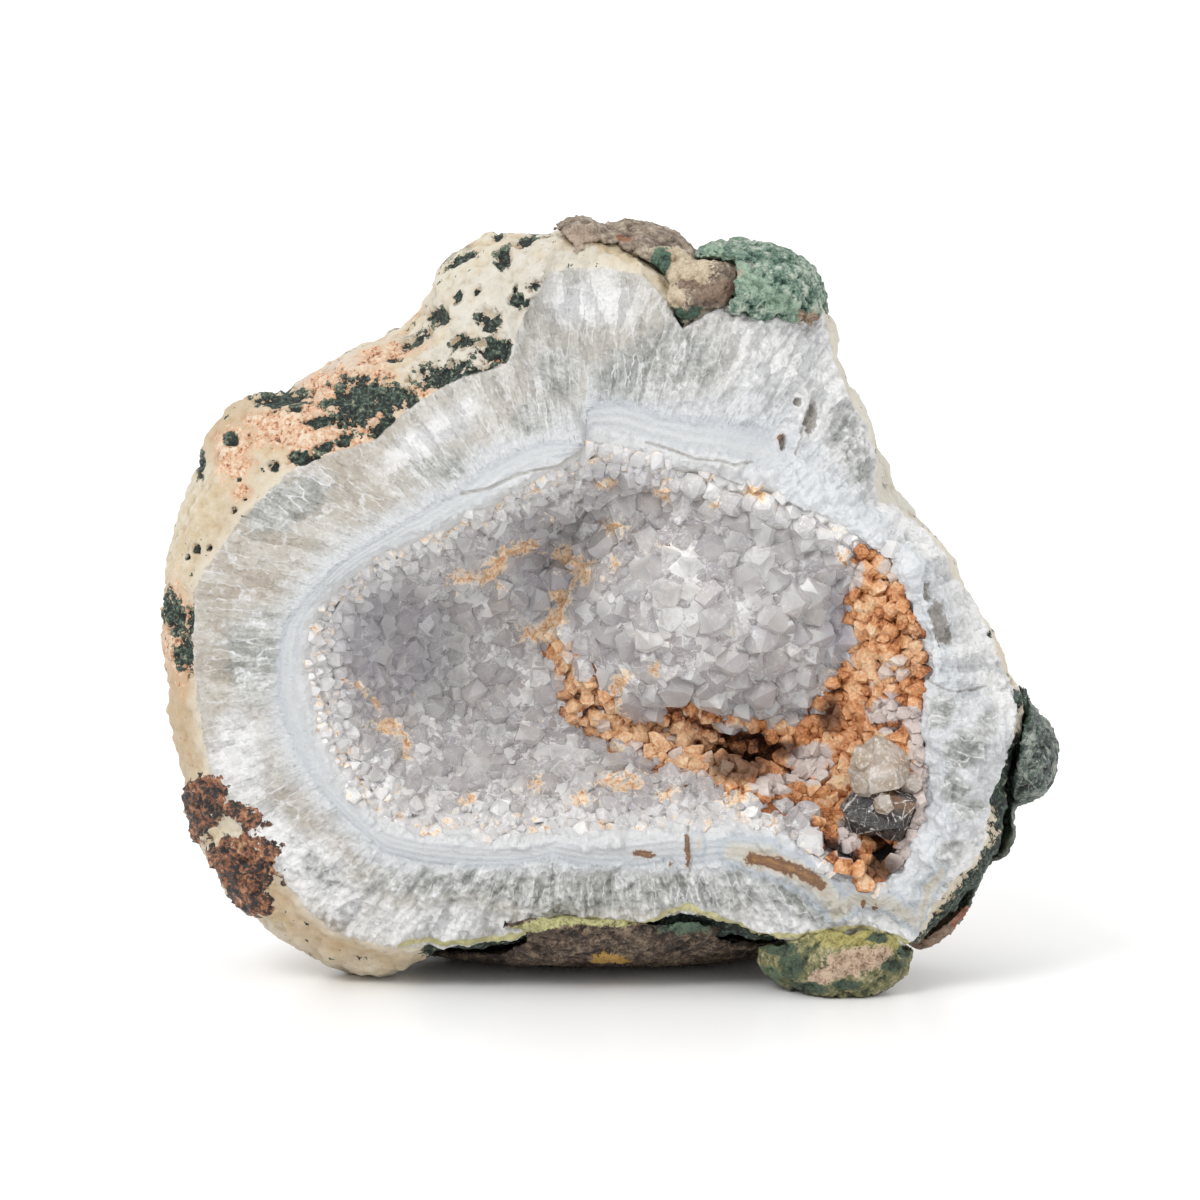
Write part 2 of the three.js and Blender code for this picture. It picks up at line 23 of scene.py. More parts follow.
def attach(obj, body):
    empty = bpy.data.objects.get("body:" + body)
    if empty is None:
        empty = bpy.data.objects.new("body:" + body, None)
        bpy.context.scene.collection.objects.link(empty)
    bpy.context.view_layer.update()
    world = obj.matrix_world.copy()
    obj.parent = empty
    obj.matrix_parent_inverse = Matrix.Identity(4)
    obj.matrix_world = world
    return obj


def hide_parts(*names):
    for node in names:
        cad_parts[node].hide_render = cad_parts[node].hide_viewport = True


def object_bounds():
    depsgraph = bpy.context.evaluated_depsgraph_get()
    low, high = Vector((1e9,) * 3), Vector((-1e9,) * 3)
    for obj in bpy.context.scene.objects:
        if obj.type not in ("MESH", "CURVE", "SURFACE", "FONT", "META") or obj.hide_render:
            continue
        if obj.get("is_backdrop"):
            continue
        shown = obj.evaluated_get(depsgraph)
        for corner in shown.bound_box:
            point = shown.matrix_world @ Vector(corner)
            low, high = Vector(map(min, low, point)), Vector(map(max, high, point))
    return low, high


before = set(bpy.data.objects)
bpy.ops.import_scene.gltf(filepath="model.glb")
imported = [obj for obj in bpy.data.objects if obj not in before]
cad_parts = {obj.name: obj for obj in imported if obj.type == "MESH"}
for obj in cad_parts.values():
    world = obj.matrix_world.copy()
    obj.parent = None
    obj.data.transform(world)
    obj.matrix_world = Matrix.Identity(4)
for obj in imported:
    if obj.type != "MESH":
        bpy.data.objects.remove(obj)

log = logging.getLogger("specimen")

CAD_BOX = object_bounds()
MM = 0.001
BODY = "root"
STUDIO_LIGHT = 1.28  # how much brighter than white paper a surface that faces the lamps is
UP = np.array([0.0, 0.0, 1.0])
TOWARDS_FRONT = np.array([0.0, -1.0, 0.0])

Colour = tuple[float, float, float]
Points = np.ndarray
Faces = list[list[int]]


# Noise and small sums ----


def ease(value: np.ndarray, low: float, high: float) -> np.ndarray:
    """A smooth rise from 0 at low to 1 at high, or a fall where high is below low."""
    share = np.clip((value - low) / (high - low), 0.0, 1.0)
    return share * share * (3.0 - 2.0 * share)


def unit(vectors: np.ndarray) -> np.ndarray:
    """The same directions with a length of one."""
    return vectors / np.maximum(np.linalg.norm(vectors, axis=-1, keepdims=True), 1e-12)


class Grain:
    """Seeded noise over places in space."""

    CORNERS = np.array(list(itertools.product((0, 1), repeat=3)))
    AROUND = np.array(list(itertools.product((-1, 0, 1), repeat=3)))

    def __init__(self, seed: int) -> None:
        """Draws the tables.

        Args:
            seed: The number that fixes every draw.
        """
        chance = np.random.default_rng(seed)
        self.order = chance.permutation(256)
        self.slopes = unit(chance.normal(size=(256, 3)))
        self.seats = chance.uniform(0.1, 0.9, size=(256, 3))
        self.turns = np.linalg.qr(chance.normal(size=(256, 3, 3)))[0]
        self.talls = chance.uniform(0.0, 0.45, size=256)

    def _code(self, cell: np.ndarray) -> np.ndarray:
        """A number from 0 to 255 for each whole-number cell."""
        x, y, z = (cell % 256).T
        return self.order[(self.order[(self.order[x] + y) % 256] + z) % 256]

    def _seats_near(self, points: Points, size: float) -> Iterator[tuple[np.ndarray, np.ndarray]]:
        """The middles of the grains round each place, one after the other.

        Args:
            points: Places in mm.
            size: The width of one grain in mm.

        Yields:
            Each place's grain number and its way from that grain's middle, in grain widths.
        """
        scaled = points / size
        cell = np.floor(scaled).astype(int)
        for step in self.AROUND:
            code = self._code(cell + step)
            yield code, scaled - (cell + step + self.seats[code])

    def soft(self, points: Points, size: float) -> np.ndarray:
        """Smooth noise.

        Args:
            points: Places in mm.
            size: The width of one lump in mm.

        Returns:
            Numbers from about -1 to 1.
        """
        scaled = points / size
        cell = np.floor(scaled).astype(int)
        part = scaled - cell
        fade = part**3 * (part * (part * 6 - 15) + 10)
        total = np.zeros(len(points))
        for corner in self.CORNERS:
            slope = self.slopes[self._code(cell + corner)]
            weight = np.prod(np.where(corner, fade, 1 - fade), axis=1)
            total += weight * ((part - corner) * slope).sum(1)
        return total * 1.7

    def layered(self, points: Points, size: float, layers: int = 3) -> np.ndarray:
        """Smooth noise from about -1 to 1 in lumps of a size in mm, with finer and weaker layers on it."""
        return sum(self.soft(points + 31.7 * n, size / 2**n) / 2**n for n in range(layers)) / 1.5

    def cells(self, points: Points, size: float) -> tuple[np.ndarray, np.ndarray]:
        """Closely packed grains.

        Args:
            points: Places in mm.
            size: The width of one grain in mm.

        Returns:
            How far each place is from the middle of its grain, as a share of the grain's size, and the
            height of the grain's own tilted flat face there.
        """
        nearest = np.full(len(points), 9.0)
        facet = np.zeros(len(points))
        for code, offset in self._seats_near(points, size):
            away = np.linalg.norm(offset, axis=1)
            closer = away < nearest
            nearest = np.where(closer, away, nearest)
            facet = np.where(closer, (offset * self.slopes[code]).sum(1), facet)
        return nearest, facet

    def crystals(self, points: Points, size: float, steep: float = 1.0) -> np.ndarray:
        """Blocky crystals crowded together, each with its corners and edges standing out.

        Args:
            points: Places in mm.
            size: The width of one crystal in mm.
            steep: How steeply their faces fall.

        Returns:
            Heights from about -1 in the gaps to 0.5 on the highest corners.
        """
        best = np.full(len(points), -9.0)
        for code, offset in self._seats_near(points, size):
            turned = np.abs(np.einsum("nij,nj->ni", self.turns[code], offset)).max(1)
            best = np.maximum(best, self.talls[code] - steep * turned)
        return best


# Lines and places on the broken face ----

FACE_DEPTH = -24.0  # y of the broken face
FACE_TILT = math.tan(math.radians(8))  # markings run back into the stone and sink by this much
HEART = (-2.0, 60.0)  # x and z of the middle of the hollow


class Spot(NamedTuple):
    """An oval mark: its middle, half its width and height in mm, and its turn in degrees."""

    x: float
    z: float
    wide: float
    high: float
    turn: float = 0.0

    def strength(self, across: np.ndarray, up: np.ndarray) -> np.ndarray:
        """1 in the middle, 0 on the edge and less outside.

        Args:
            across: Places along x in mm.
            up: Heights in mm.

        Returns:
            The strength of the mark at each place.
        """
        angle = math.radians(self.turn)
        dx, dz = across - self.x, up - self.z
        along = (dx * math.cos(angle) + dz * math.sin(angle)) / self.wide
        over = (dz * math.cos(angle) - dx * math.sin(angle)) / self.high
        return 1.0 - np.hypot(along, over)


class Stroke(NamedTuple):
    """A mark along a line: the line's points and half the mark's width in mm."""

    points: tuple[tuple[float, float], ...]
    wide: float

    def strength(self, across: np.ndarray, up: np.ndarray) -> np.ndarray:
        """1 on the line, 0 on the mark's edge and less outside.

        Args:
            across: Places along x in mm.
            up: Heights in mm.

        Returns:
            The strength of the mark at each place.
        """
        best = np.full(len(across), np.inf)
        for (x0, z0), (x1, z1) in itertools.pairwise(self.points):
            dx, dz = x1 - x0, z1 - z0
            share = np.clip(((across - x0) * dx + (up - z0) * dz) / (dx * dx + dz * dz), 0.0, 1.0)
            best = np.minimum(best, np.hypot(across - x0 - share * dx, up - z0 - share * dz))
        return 1.0 - best / self.wide


Mark = Spot | Stroke
Marks = tuple[Mark, ...]


def spots(*rows: tuple[float, ...]) -> Marks:
    """Spots from rows of their numbers."""
    return tuple(Spot(*row) for row in rows)


def marked(marks: Iterable[Mark], points: Points) -> np.ndarray:
    """The strongest of some marks at each point of the stone.

    Args:
        marks: The marks on the front of the stone.
        points: Places in mm.

    Returns:
        Strengths from -1 to 1, with 0 on the marks' edges.
    """
    across = points[:, 0]
    up = points[:, 2] + FACE_TILT * (points[:, 1] - FACE_DEPTH)
    return np.clip(np.max([mark.strength(across, up) for mark in marks], axis=0), -1.0, 1.0)


@dataclass(frozen=True)
class Outline:
    """A closed line round the heart of the hollow, as (x, z) or (x, z, y) points in mm."""

    points: tuple[tuple[float, ...], ...]

    def _stations(self) -> tuple[np.ndarray, np.ndarray]:
        """Sorts the line's points by their angle.

        Returns:
            The points in order, and their angles.
        """
        points = np.array(self.points, float)
        angles = np.arctan2(points[:, 1] - HEART[1], points[:, 0] - HEART[0])
        order = np.argsort(angles)
        return points[order], angles[order]

    def radius(self, angle: np.ndarray) -> np.ndarray:
        """How far the line is from the heart at some angles.

        Args:
            angle: The angles in radians.

        Returns:
            The distances in mm.
        """
        points, angles = self._stations()
        radii = np.hypot(points[:, 0] - HEART[0], points[:, 1] - HEART[1])
        return np.interp(angle, angles, radii, period=2 * math.pi)

    def depth(self, angle: np.ndarray) -> np.ndarray:
        """The line's y at each angle."""
        points, angles = self._stations()
        return np.interp(angle, angles, points[:, 2], period=2 * math.pi)


# Where the crystals of the hollow end.
RIM = Outline((
    (-2.5, 91), (3.6, 89.4), (11.4, 87.2), (21.4, 84.8), (31, 81.1), (42.5, 75), (46, 73), (48.5, 67.8),
    (51, 61), (51.8, 56.5), (51.5, 46), (52.5, 38), (52, 30), (48, 21.5), (42.5, 18.5), (37, 21.3),
    (33, 25.5), (28.5, 28), (20, 29.8), (9, 29.2), (-7.5, 28.4), (-24, 27.8), (-37, 29.3), (-43.5, 36),
    (-48, 47), (-49.6, 56.3), (-47.9, 64.1), (-41.3, 70.8), (-34.8, 74.1), (-27, 77.4), (-18.3, 81.9),
    (-7.4, 87.6),
))
# Where the banded agate round the hollow ends.
BAND_EDGE = Outline((
    (-4.2, 92), (-3.8, 98), (2, 99), (8, 97), (14, 96), (20, 95.5), (28, 93), (36, 86), (45, 78), (50, 72),
    (54, 60), (55, 46), (56, 32), (51, 17), (42, 14.5), (34, 18), (27, 21.5), (20, 23), (8, 22), (-10, 23),
    (-20, 21.5), (-30, 22), (-38, 24), (-42, 28), (-47, 33), (-52, 40), (-55.5, 50), (-55, 57), (-54, 62),
    (-50, 67), (-44, 73), (-38, 77), (-32, 80.5), (-26, 84), (-20, 89), (-10, 93),
))
# Where the broken face ends and the outer skin begins.
FACE_EDGE = Outline((
    (-10, 119, -13), (0, 119.5, -12), (6, 118, -12), (12, 110, -12), (20, 114, -9), (25, 116, -7),
    (35, 112.5, -4), (37, 104.5, -4), (39.5, 98, -5), (43, 92, -5), (45, 80.5, -6), (55.5, 72, -6),
    (57.5, 67.5, -6), (64.5, 55.5, -8), (68, 49, -9), (67, 40.5, -16), (63.2, 33, -19), (62.5, 28, -18),
    (61.5, 24, -19), (57, 19, -20), (53.5, 15.5, -21), (50.5, 9, -22), (44.5, 8, -24), (30, 9.5, -24),
    (15, 14, -23), (5, 12, -22), (-8, 12.5, -22), (-18, 8.5, -21), (-33, 7, -20), (-46, 10, -20),
    (-56, 21, -20), (-65.5, 35, -20), (-68.5, 52, -20), (-68.5, 67.5, -20), (-61, 78.5, -20),
    (-52.5, 87, -18), (-39.5, 91.5, -18), (-30.5, 99, -17), (-17, 104.5, -17), (-15, 110, -12),
))
# Where the crystals are stained with iron, as (x, z) points.
OCHRE_EDGE = (
    (41, 75), (45, 73), (49.5, 66), (54, 60), (53, 51), (54, 44), (56, 30), (52, 20), (40, 19), (35.5, 23),
    (30.5, 29.5), (22, 31), (11, 34.5), (-1, 38), (-8, 46), (-9, 55), (-5, 58), (-2, 52), (4, 46.5),
    (14, 46), (24, 43.5), (34, 43.5), (36, 50), (41, 55), (40, 64), (42, 70),
)


@dataclass(frozen=True)
class Growth:
    """How the stone grew from its skin inwards, read at places on it."""

    SKIN_WIDTH = 10.0  # mm beyond the edge of the face for one stage more
    FACE_DROP = 7.0  # mm that the broken face may dip behind its own edge before it counts as skin
    HOLLOW_DROP = 25.0  # the same inside the rim
    COMB_RADIUS = 52.0  # mm at which the comb's fibres are as wide as they are said to be
    COMB_LENGTH = 6.0  # how many times longer than wide its fibres are

    angle: np.ndarray
    radius: np.ndarray
    stage: np.ndarray  # 0 at the heart, 1 at the rim, 2 at the band's edge, 3 at the edge of the face
    skin: np.ndarray  # mm beyond the edge of the broken face, and less than 0 on it

    @classmethod
    def at(cls, points: Points) -> "Growth":
        """Reads the growth at places on the stone.

        Args:
            points: Places in mm.

        Returns:
            The growth there.
        """
        x, z = points[:, 0] - HEART[0], points[:, 2] - HEART[1]
        angle, radius = np.arctan2(z, x), np.hypot(x, z)
        rim, band, edge = (line.radius(angle) for line in (RIM, BAND_EDGE, FACE_EDGE))
        stage = np.select(
            [radius < rim, radius < band, radius < edge],
            [radius / rim, 1 + (radius - rim) / (band - rim), 2 + (radius - band) / (edge - band)],
            3 + (radius - edge) / cls.SKIN_WIDTH,
        )
        behind = points[:, 1] - FACE_EDGE.depth(angle)
        skin = np.where(
            radius < rim, behind - cls.HOLLOW_DROP, np.maximum(radius - edge, behind - cls.FACE_DROP)
        )
        return cls(angle, radius, stage, skin)

    def comb(self) -> Points:
        """Places in mm for a texture whose fibres run along the growth, with no seam."""
        turn = self.COMB_RADIUS * np.c_[np.cos(self.angle), np.sin(self.angle)]
        return np.c_[turn, self.radius / self.COMB_LENGTH]


# Meshes ----


def read_all(parts: bpy_prop_collection, name: str, width: int, kind: type = float) -> np.ndarray:
    """One property of all a mesh's points, edges or faces.

    Args:
        parts: The points, edges or faces.
        name: The property.
        width: How many numbers it has.
        kind: What kind of numbers they are.

    Returns:
        One row for each part.
    """
    flat = np.empty(len(parts) * width, kind)
    parts.foreach_get(name, flat)
    return flat.reshape(-1, width)


def points_of(mesh: Mesh) -> Points:
    """A mesh's points in mm."""
    return read_all(mesh.vertices, "co", 3) / MM


def centres_of(mesh: Mesh) -> Points:
    """The middles of a mesh's faces in mm."""
    return read_all(mesh.polygons, "center", 3) / MM


def normals_of(mesh: Mesh) -> np.ndarray:
    """A mesh's direction outwards at each point."""
    return read_all(mesh.vertex_normals, "vector", 3)


def triangles_of(mesh: Mesh) -> np.ndarray:
    """A mesh's triangles, as three point numbers each."""
    mesh.calc_loop_triangles()
    return read_all(mesh.loop_triangles, "vertices", 3, np.int32)


def move_points(mesh: Mesh, points: Points) -> None:
    """Puts a mesh's points at new places, given in mm."""
    mesh.vertices.foreach_set("co", (points * MM).ravel())
    mesh.update()


def new_object(name: str, points: Points, faces: Faces) -> Object:
    """Makes a mesh object.

    Args:
        name: The object's name.
        points: Its points in mm.
        faces: Its faces, as lists of point numbers.

    Returns:
        The object, in the scene.
    """
    mesh = bpy.data.meshes.new(name)
    mesh.from_pydata((points * MM).tolist(), [], faces)
    mesh.update()
    made = bpy.data.objects.new(name, mesh)
    bpy.context.scene.collection.objects.link(made)
    return made


def remove(thing: Object) -> None:
    """Takes a mesh away again, and with it the object that shows it."""
    bpy.data.meshes.remove(thing.data)


def settle(thing: Object) -> None:
    """Turns an object's modifiers into its mesh.

    Args:
        thing: The object.
    """
    made = bpy.data.meshes.new_from_object(thing.evaluated_get(bpy.context.evaluated_depsgraph_get()))
    thing.modifiers.clear()
    old, thing.data = thing.data, made
    bpy.data.meshes.remove(old)


def remeshed(name: str, node: str, voxel: float) -> Object:
    """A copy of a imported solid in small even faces.

    Args:
        name: The copy's name.
        node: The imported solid's name.
        voxel: The width of a face in mm.

    Returns:
        The copy.
    """
    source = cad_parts[node].data
    copy = new_object(name, points_of(source), triangles_of(source).tolist())
    weld = copy.modifiers.new("weld", "WELD")
    weld.merge_threshold = 0.001 * MM
    modifier = copy.modifiers.new("even faces", "REMESH")
    modifier.mode = "VOXEL"
    modifier.voxel_size = voxel * MM
    settle(copy)
    return copy


def relaxed(mesh: Mesh, points: Points, rounds: int) -> Points:
    """A mesh's points drawn towards their neighbours.

    Args:
        mesh: The mesh, for its edges.
        points: Its points in mm.
        rounds: How many times they go half the way.

    Returns:
        The new points.
    """
    near, far = read_all(mesh.edges, "vertices", 2, np.int32).T
    size = len(points)
    count = np.maximum(np.bincount(near, minlength=size) + np.bincount(far, minlength=size), 1)
    for _ in range(rounds):
        total = [
            np.bincount(near, points[far, axis], size) + np.bincount(far, points[near, axis], size)
            for axis in range(3)
        ]
        points = points + 0.5 * (np.array(total).T / count[:, None] - points)
    return points


class Domain(Enum):
    """What of a mesh a value belongs to."""

    POINT = "POINT"
    FACE = "FACE"


def keep_value(mesh: Mesh, name: str, values: np.ndarray, domain: Domain = Domain.POINT) -> None:
    """Stores a number, or a direction, for each point or face of a mesh.

    Args:
        mesh: The mesh.
        name: What the shader calls it.
        values: One row for each point or face.
        domain: Whether for points or faces.
    """
    kind, part = ("FLOAT_VECTOR", "vector") if values.ndim == 2 else ("FLOAT", "value")
    attribute = mesh.attributes.new(name, kind, domain.value)
    attribute.data.foreach_set(part, values.astype(np.float32).ravel())


class Shading(Enum):
    """How a mesh's faces catch the light."""

    SMOOTH = True
    FACETED = False


class Joining(Enum):
    """What a solid becomes where it meets others."""

    UNION = "UNION"
    DIFFERENCE = "DIFFERENCE"
    INTERSECT = "INTERSECT"


def dress(thing: Object, material: Material, shading: Shading) -> None:
    """Gives an object its material.

    Args:
        thing: The object.
        material: The material.
        shading: How its faces catch the light.
    """
    thing.data.materials.clear()
    thing.data.materials.append(material)
    thing.data.polygons.foreach_set("use_smooth", [shading.value] * len(thing.data.polygons))
    thing.data.update()


@dataclass
class Piece:
    """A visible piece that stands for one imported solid."""

    name: str
    node: str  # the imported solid
    slot: str  # the record's material slot

    def hand_in(self, thing: Object) -> Object:
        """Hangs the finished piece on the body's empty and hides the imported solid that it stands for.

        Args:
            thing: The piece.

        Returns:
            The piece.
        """
        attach(thing, BODY)
        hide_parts(self.node)
        return thing


# Shader graphs ----


class Socket:
    """A number coming out of a node, with the sums that add Math nodes."""

    def __init__(self, graph: "Graph", source: NodeSocket) -> None:
        """Wraps a socket of a graph."""
        self.graph = graph
        self.source = source

    def __add__(self, other: "Number") -> "Socket":
        """The sum."""
        return self.graph.sum("ADD", self, other)

    __radd__ = __add__

    def __sub__(self, other: "Number") -> "Socket":
        """The difference."""
        return self.graph.sum("SUBTRACT", self, other)

    def __rsub__(self, other: "Number") -> "Socket":
        """The difference, the other way round."""
        return self.graph.sum("SUBTRACT", other, self)

    def __mul__(self, other: "Number") -> "Socket":
        """The product."""
        return self.graph.sum("MULTIPLY", self, other)

    __rmul__ = __mul__


Number = Socket | float
Stop = tuple[float, Colour]


class Graph:
    """The nodes of a material, or of the world."""

    def __init__(self, owner: Material | World) -> None:
        """Starts with no nodes.

        Args:
            owner: The material or the world.
        """
        owner.use_nodes = True
        self.owner = owner
        self.tree = owner.node_tree
        self.tree.nodes.clear()

    @classmethod
    def material(cls, name: str) -> "Graph":
        """The nodes of a new material."""
        return cls(bpy.data.materials.new(name))

    def node(self, kind: str, settings: Mapping[str, Any] | None = None, **sockets: Any) -> Node:
        """Adds a node.

        Args:
            kind: The node's type without its ShaderNode prefix.
            settings: Its settings, which come first; stops are a colour ramp's positions and colours.
            sockets: Values or links for its sockets, with _ for a space, or an s and the socket's number.

        Returns:
            The node.
        """
        made = self.tree.nodes.new("ShaderNode" + kind)
        for name, value in (settings or {}).items():
            if name == "stops":
                self._set_stops(made.color_ramp, value)
            else:
                setattr(made, name, value)
        for name, value in sockets.items():
            place = int(name[1:]) if name[0] == "s" and name[1:].isdigit() else name.replace("_", " ")
            target = made.inputs[place]
            source = value.source if isinstance(value, Socket) else value
            if isinstance(source, NodeSocket):
                self.tree.links.new(source, target)
            elif target.type == "RGBA":
                target.default_value = (*source, 1.0)
            else:
                target.default_value = source
        return made

    @staticmethod
    def _set_stops(ramp: ColorRamp, stops: Sequence[Stop]) -> None:
        """Gives a colour ramp its stops.

        Args:
            ramp: The ramp.
            stops: Its positions and colours.
        """
        while len(ramp.elements) < len(stops):
            ramp.elements.new(1.0)
        for element, (position, colour) in zip(ramp.elements, stops, strict=True):
            element.position = position
            element.color = (*colour, 1.0)

    def sum(self, operation: str, *values: Number) -> Socket:
        """A Math node's result."""
        sockets = {f"s{n}": value for n, value in enumerate(values)}
        return Socket(self, self.node("Math", {"operation": operation}, **sockets).outputs[0])

    def vector_sum(self, operation: str, *values: Any) -> NodeSocket:
        """A Vector Math node's vector."""
        sockets = {f"s{n}": value for n, value in enumerate(values)}
        return self.node("VectorMath", {"operation": operation}, **sockets).outputs[0]

    def value(self, name: str) -> Socket:
        """A number stored on the mesh."""
        kept = self.node("Attribute", {"attribute_name": name})
        return Socket(self, kept.outputs["Fac"])

    def direction(self, name: str) -> NodeSocket:
        """A vector stored on the mesh."""
        return self.node("Attribute", {"attribute_name": name}).outputs["Vector"]

    def place(self, stretch: tuple[float, float, float] = (1.0, 1.0, 1.0)) -> NodeSocket:
        """Where a point is on the stone, in mm, with each axis stretched."""
        scale = tuple(1.0 / (MM * part) for part in stretch)
        return self.vector_sum("MULTIPLY", self.node("TexCoord").outputs["Object"], scale)

    def bent(self, place: Any, bends: Any, size: float = 2.0, detail: float = 3.0) -> NodeSocket:
        """A place moved about by noise of a size in mm, read at bends."""
        noise = self.node("TexNoise", Vector=bends, Scale=1.0 / size, Detail=detail)
        return self.vector_sum("ADD", place, noise.outputs["Color"])

    def ease(self, value: Number, low: float, high: float) -> Socket:
        """A smooth change from 0 at low to 1 at high."""
        settings = {"interpolation_type": "SMOOTHSTEP"}
        return Socket(self, self.node("MapRange", settings, s0=value, s1=low, s2=high).outputs[0])

    def noise(self, place: Any, size: float, detail: float = 3.0, rough: float = 0.55) -> Socket:
        """Smooth noise from 0 to 1 in lumps of a size in mm, with finer layers in it."""
        made = self.node("TexNoise", Vector=place, Scale=1.0 / size, Detail=detail, Roughness=rough)
        return Socket(self, made.outputs["Fac"])

    def grains(self, place: Any, size: float) -> tuple[Socket, Socket]:
        """Closely packed grains with flat faces.

        Args:
            place: Where, in mm.
            size: The width of a grain in mm.

        Returns:
            The height of each grain's tilted face in mm, and a number from 0 to 1 for each grain.
        """
        cell = self.node("TexVoronoi", Vector=place, Scale=1.0 / size)
        offset = self.vector_sum("SUBTRACT", place, cell.outputs["Position"])
        tilt = self.vector_sum("SUBTRACT", cell.outputs["Color"], (0.5, 0.5, 0.5))
        height = self.node("VectorMath", {"operation": "DOT_PRODUCT"}, s0=offset, s1=tilt).outputs["Value"]
        tone = self.node("SeparateColor", s0=cell.outputs["Color"]).outputs[0]
        return Socket(self, height), Socket(self, tone)

    def cracks(self, place: Any, size: float) -> Socket:
        """How far a place is from the edges between grains of a size in mm, as a share of that size."""
        cell = self.node("TexVoronoi", {"feature": "DISTANCE_TO_EDGE"}, Vector=place, Scale=1.0 / size)
        return Socket(self, cell.outputs["Distance"])

    def mix(self, share: Number, first: Any, second: Any) -> NodeSocket:
        """A colour between two colours."""
        settings = {"data_type": "RGBA"}
        return self.node("Mix", settings, s0=share, s6=first, s7=second).outputs[2]

    def layers(self, base: Any, *coats: tuple[Number, Any]) -> NodeSocket:
        """A colour with others laid over it.

        Args:
            base: The colour underneath.
            coats: Pairs of how much of a colour shows and that colour.

        Returns:
            The colour on top.
        """
        for share, colour in coats:
            base = self.mix(share, base, colour)
        return base

    def ramp(self, value: Number, *stops: Stop) -> NodeSocket:
        """The colour of a ramp at a value."""
        return self.node("ValToRGB", {"stops": stops}, s0=value).outputs[0]

    def bump(self, *heights: tuple[Socket, float]) -> NodeSocket:
        """A direction roughened by heights.

        Args:
            heights: Pairs of a height and how many mm one unit of it is.

        Returns:
            The direction.
        """
        normal = None
        for height, depth in heights:
            bump = self.node("Bump", Height=height, Distance=depth * MM, Strength=1.0)
            if normal is not None:
                self.tree.links.new(normal, bump.inputs["Normal"])
            normal = bump.outputs[0]
        return normal

    def surface(self, **sockets: Any) -> NodeSocket:
        """A Principled shader."""
        return self.node("BsdfPrincipled", **sockets).outputs[0]

    def blend(self, share: Number, first: NodeSocket, second: Any) -> NodeSocket:
        """A shader between two shaders."""
        return self.node("MixShader", s0=share, s1=first, s2=second).outputs[0]

    def finish(self, surface: NodeSocket) -> Material:
        """Ends the material with the shader of its surface."""
        self.node("OutputMaterial", Surface=surface)
        return self.owner


# Colours ----


def tint(red: int, green: int, blue: int) -> Colour:
    """A colour as a shader needs it, from sRGB numbers up to 255."""
    shares = (part / 255 for part in (red, green, blue))
    return tuple(share / 12.92 if share <= 0.04045 else ((share + 0.055) / 1.055) ** 2.4 for share in shares)


def lit(red: int, green: int, blue: int) -> Colour:
    """A colour that looks like this out in the studio's light, which is brighter than the hollow's."""
    return tuple(part / STUDIO_LIGHT for part in tint(red, green, blue))


# The wall: skin, radiating quartz and agate band ----

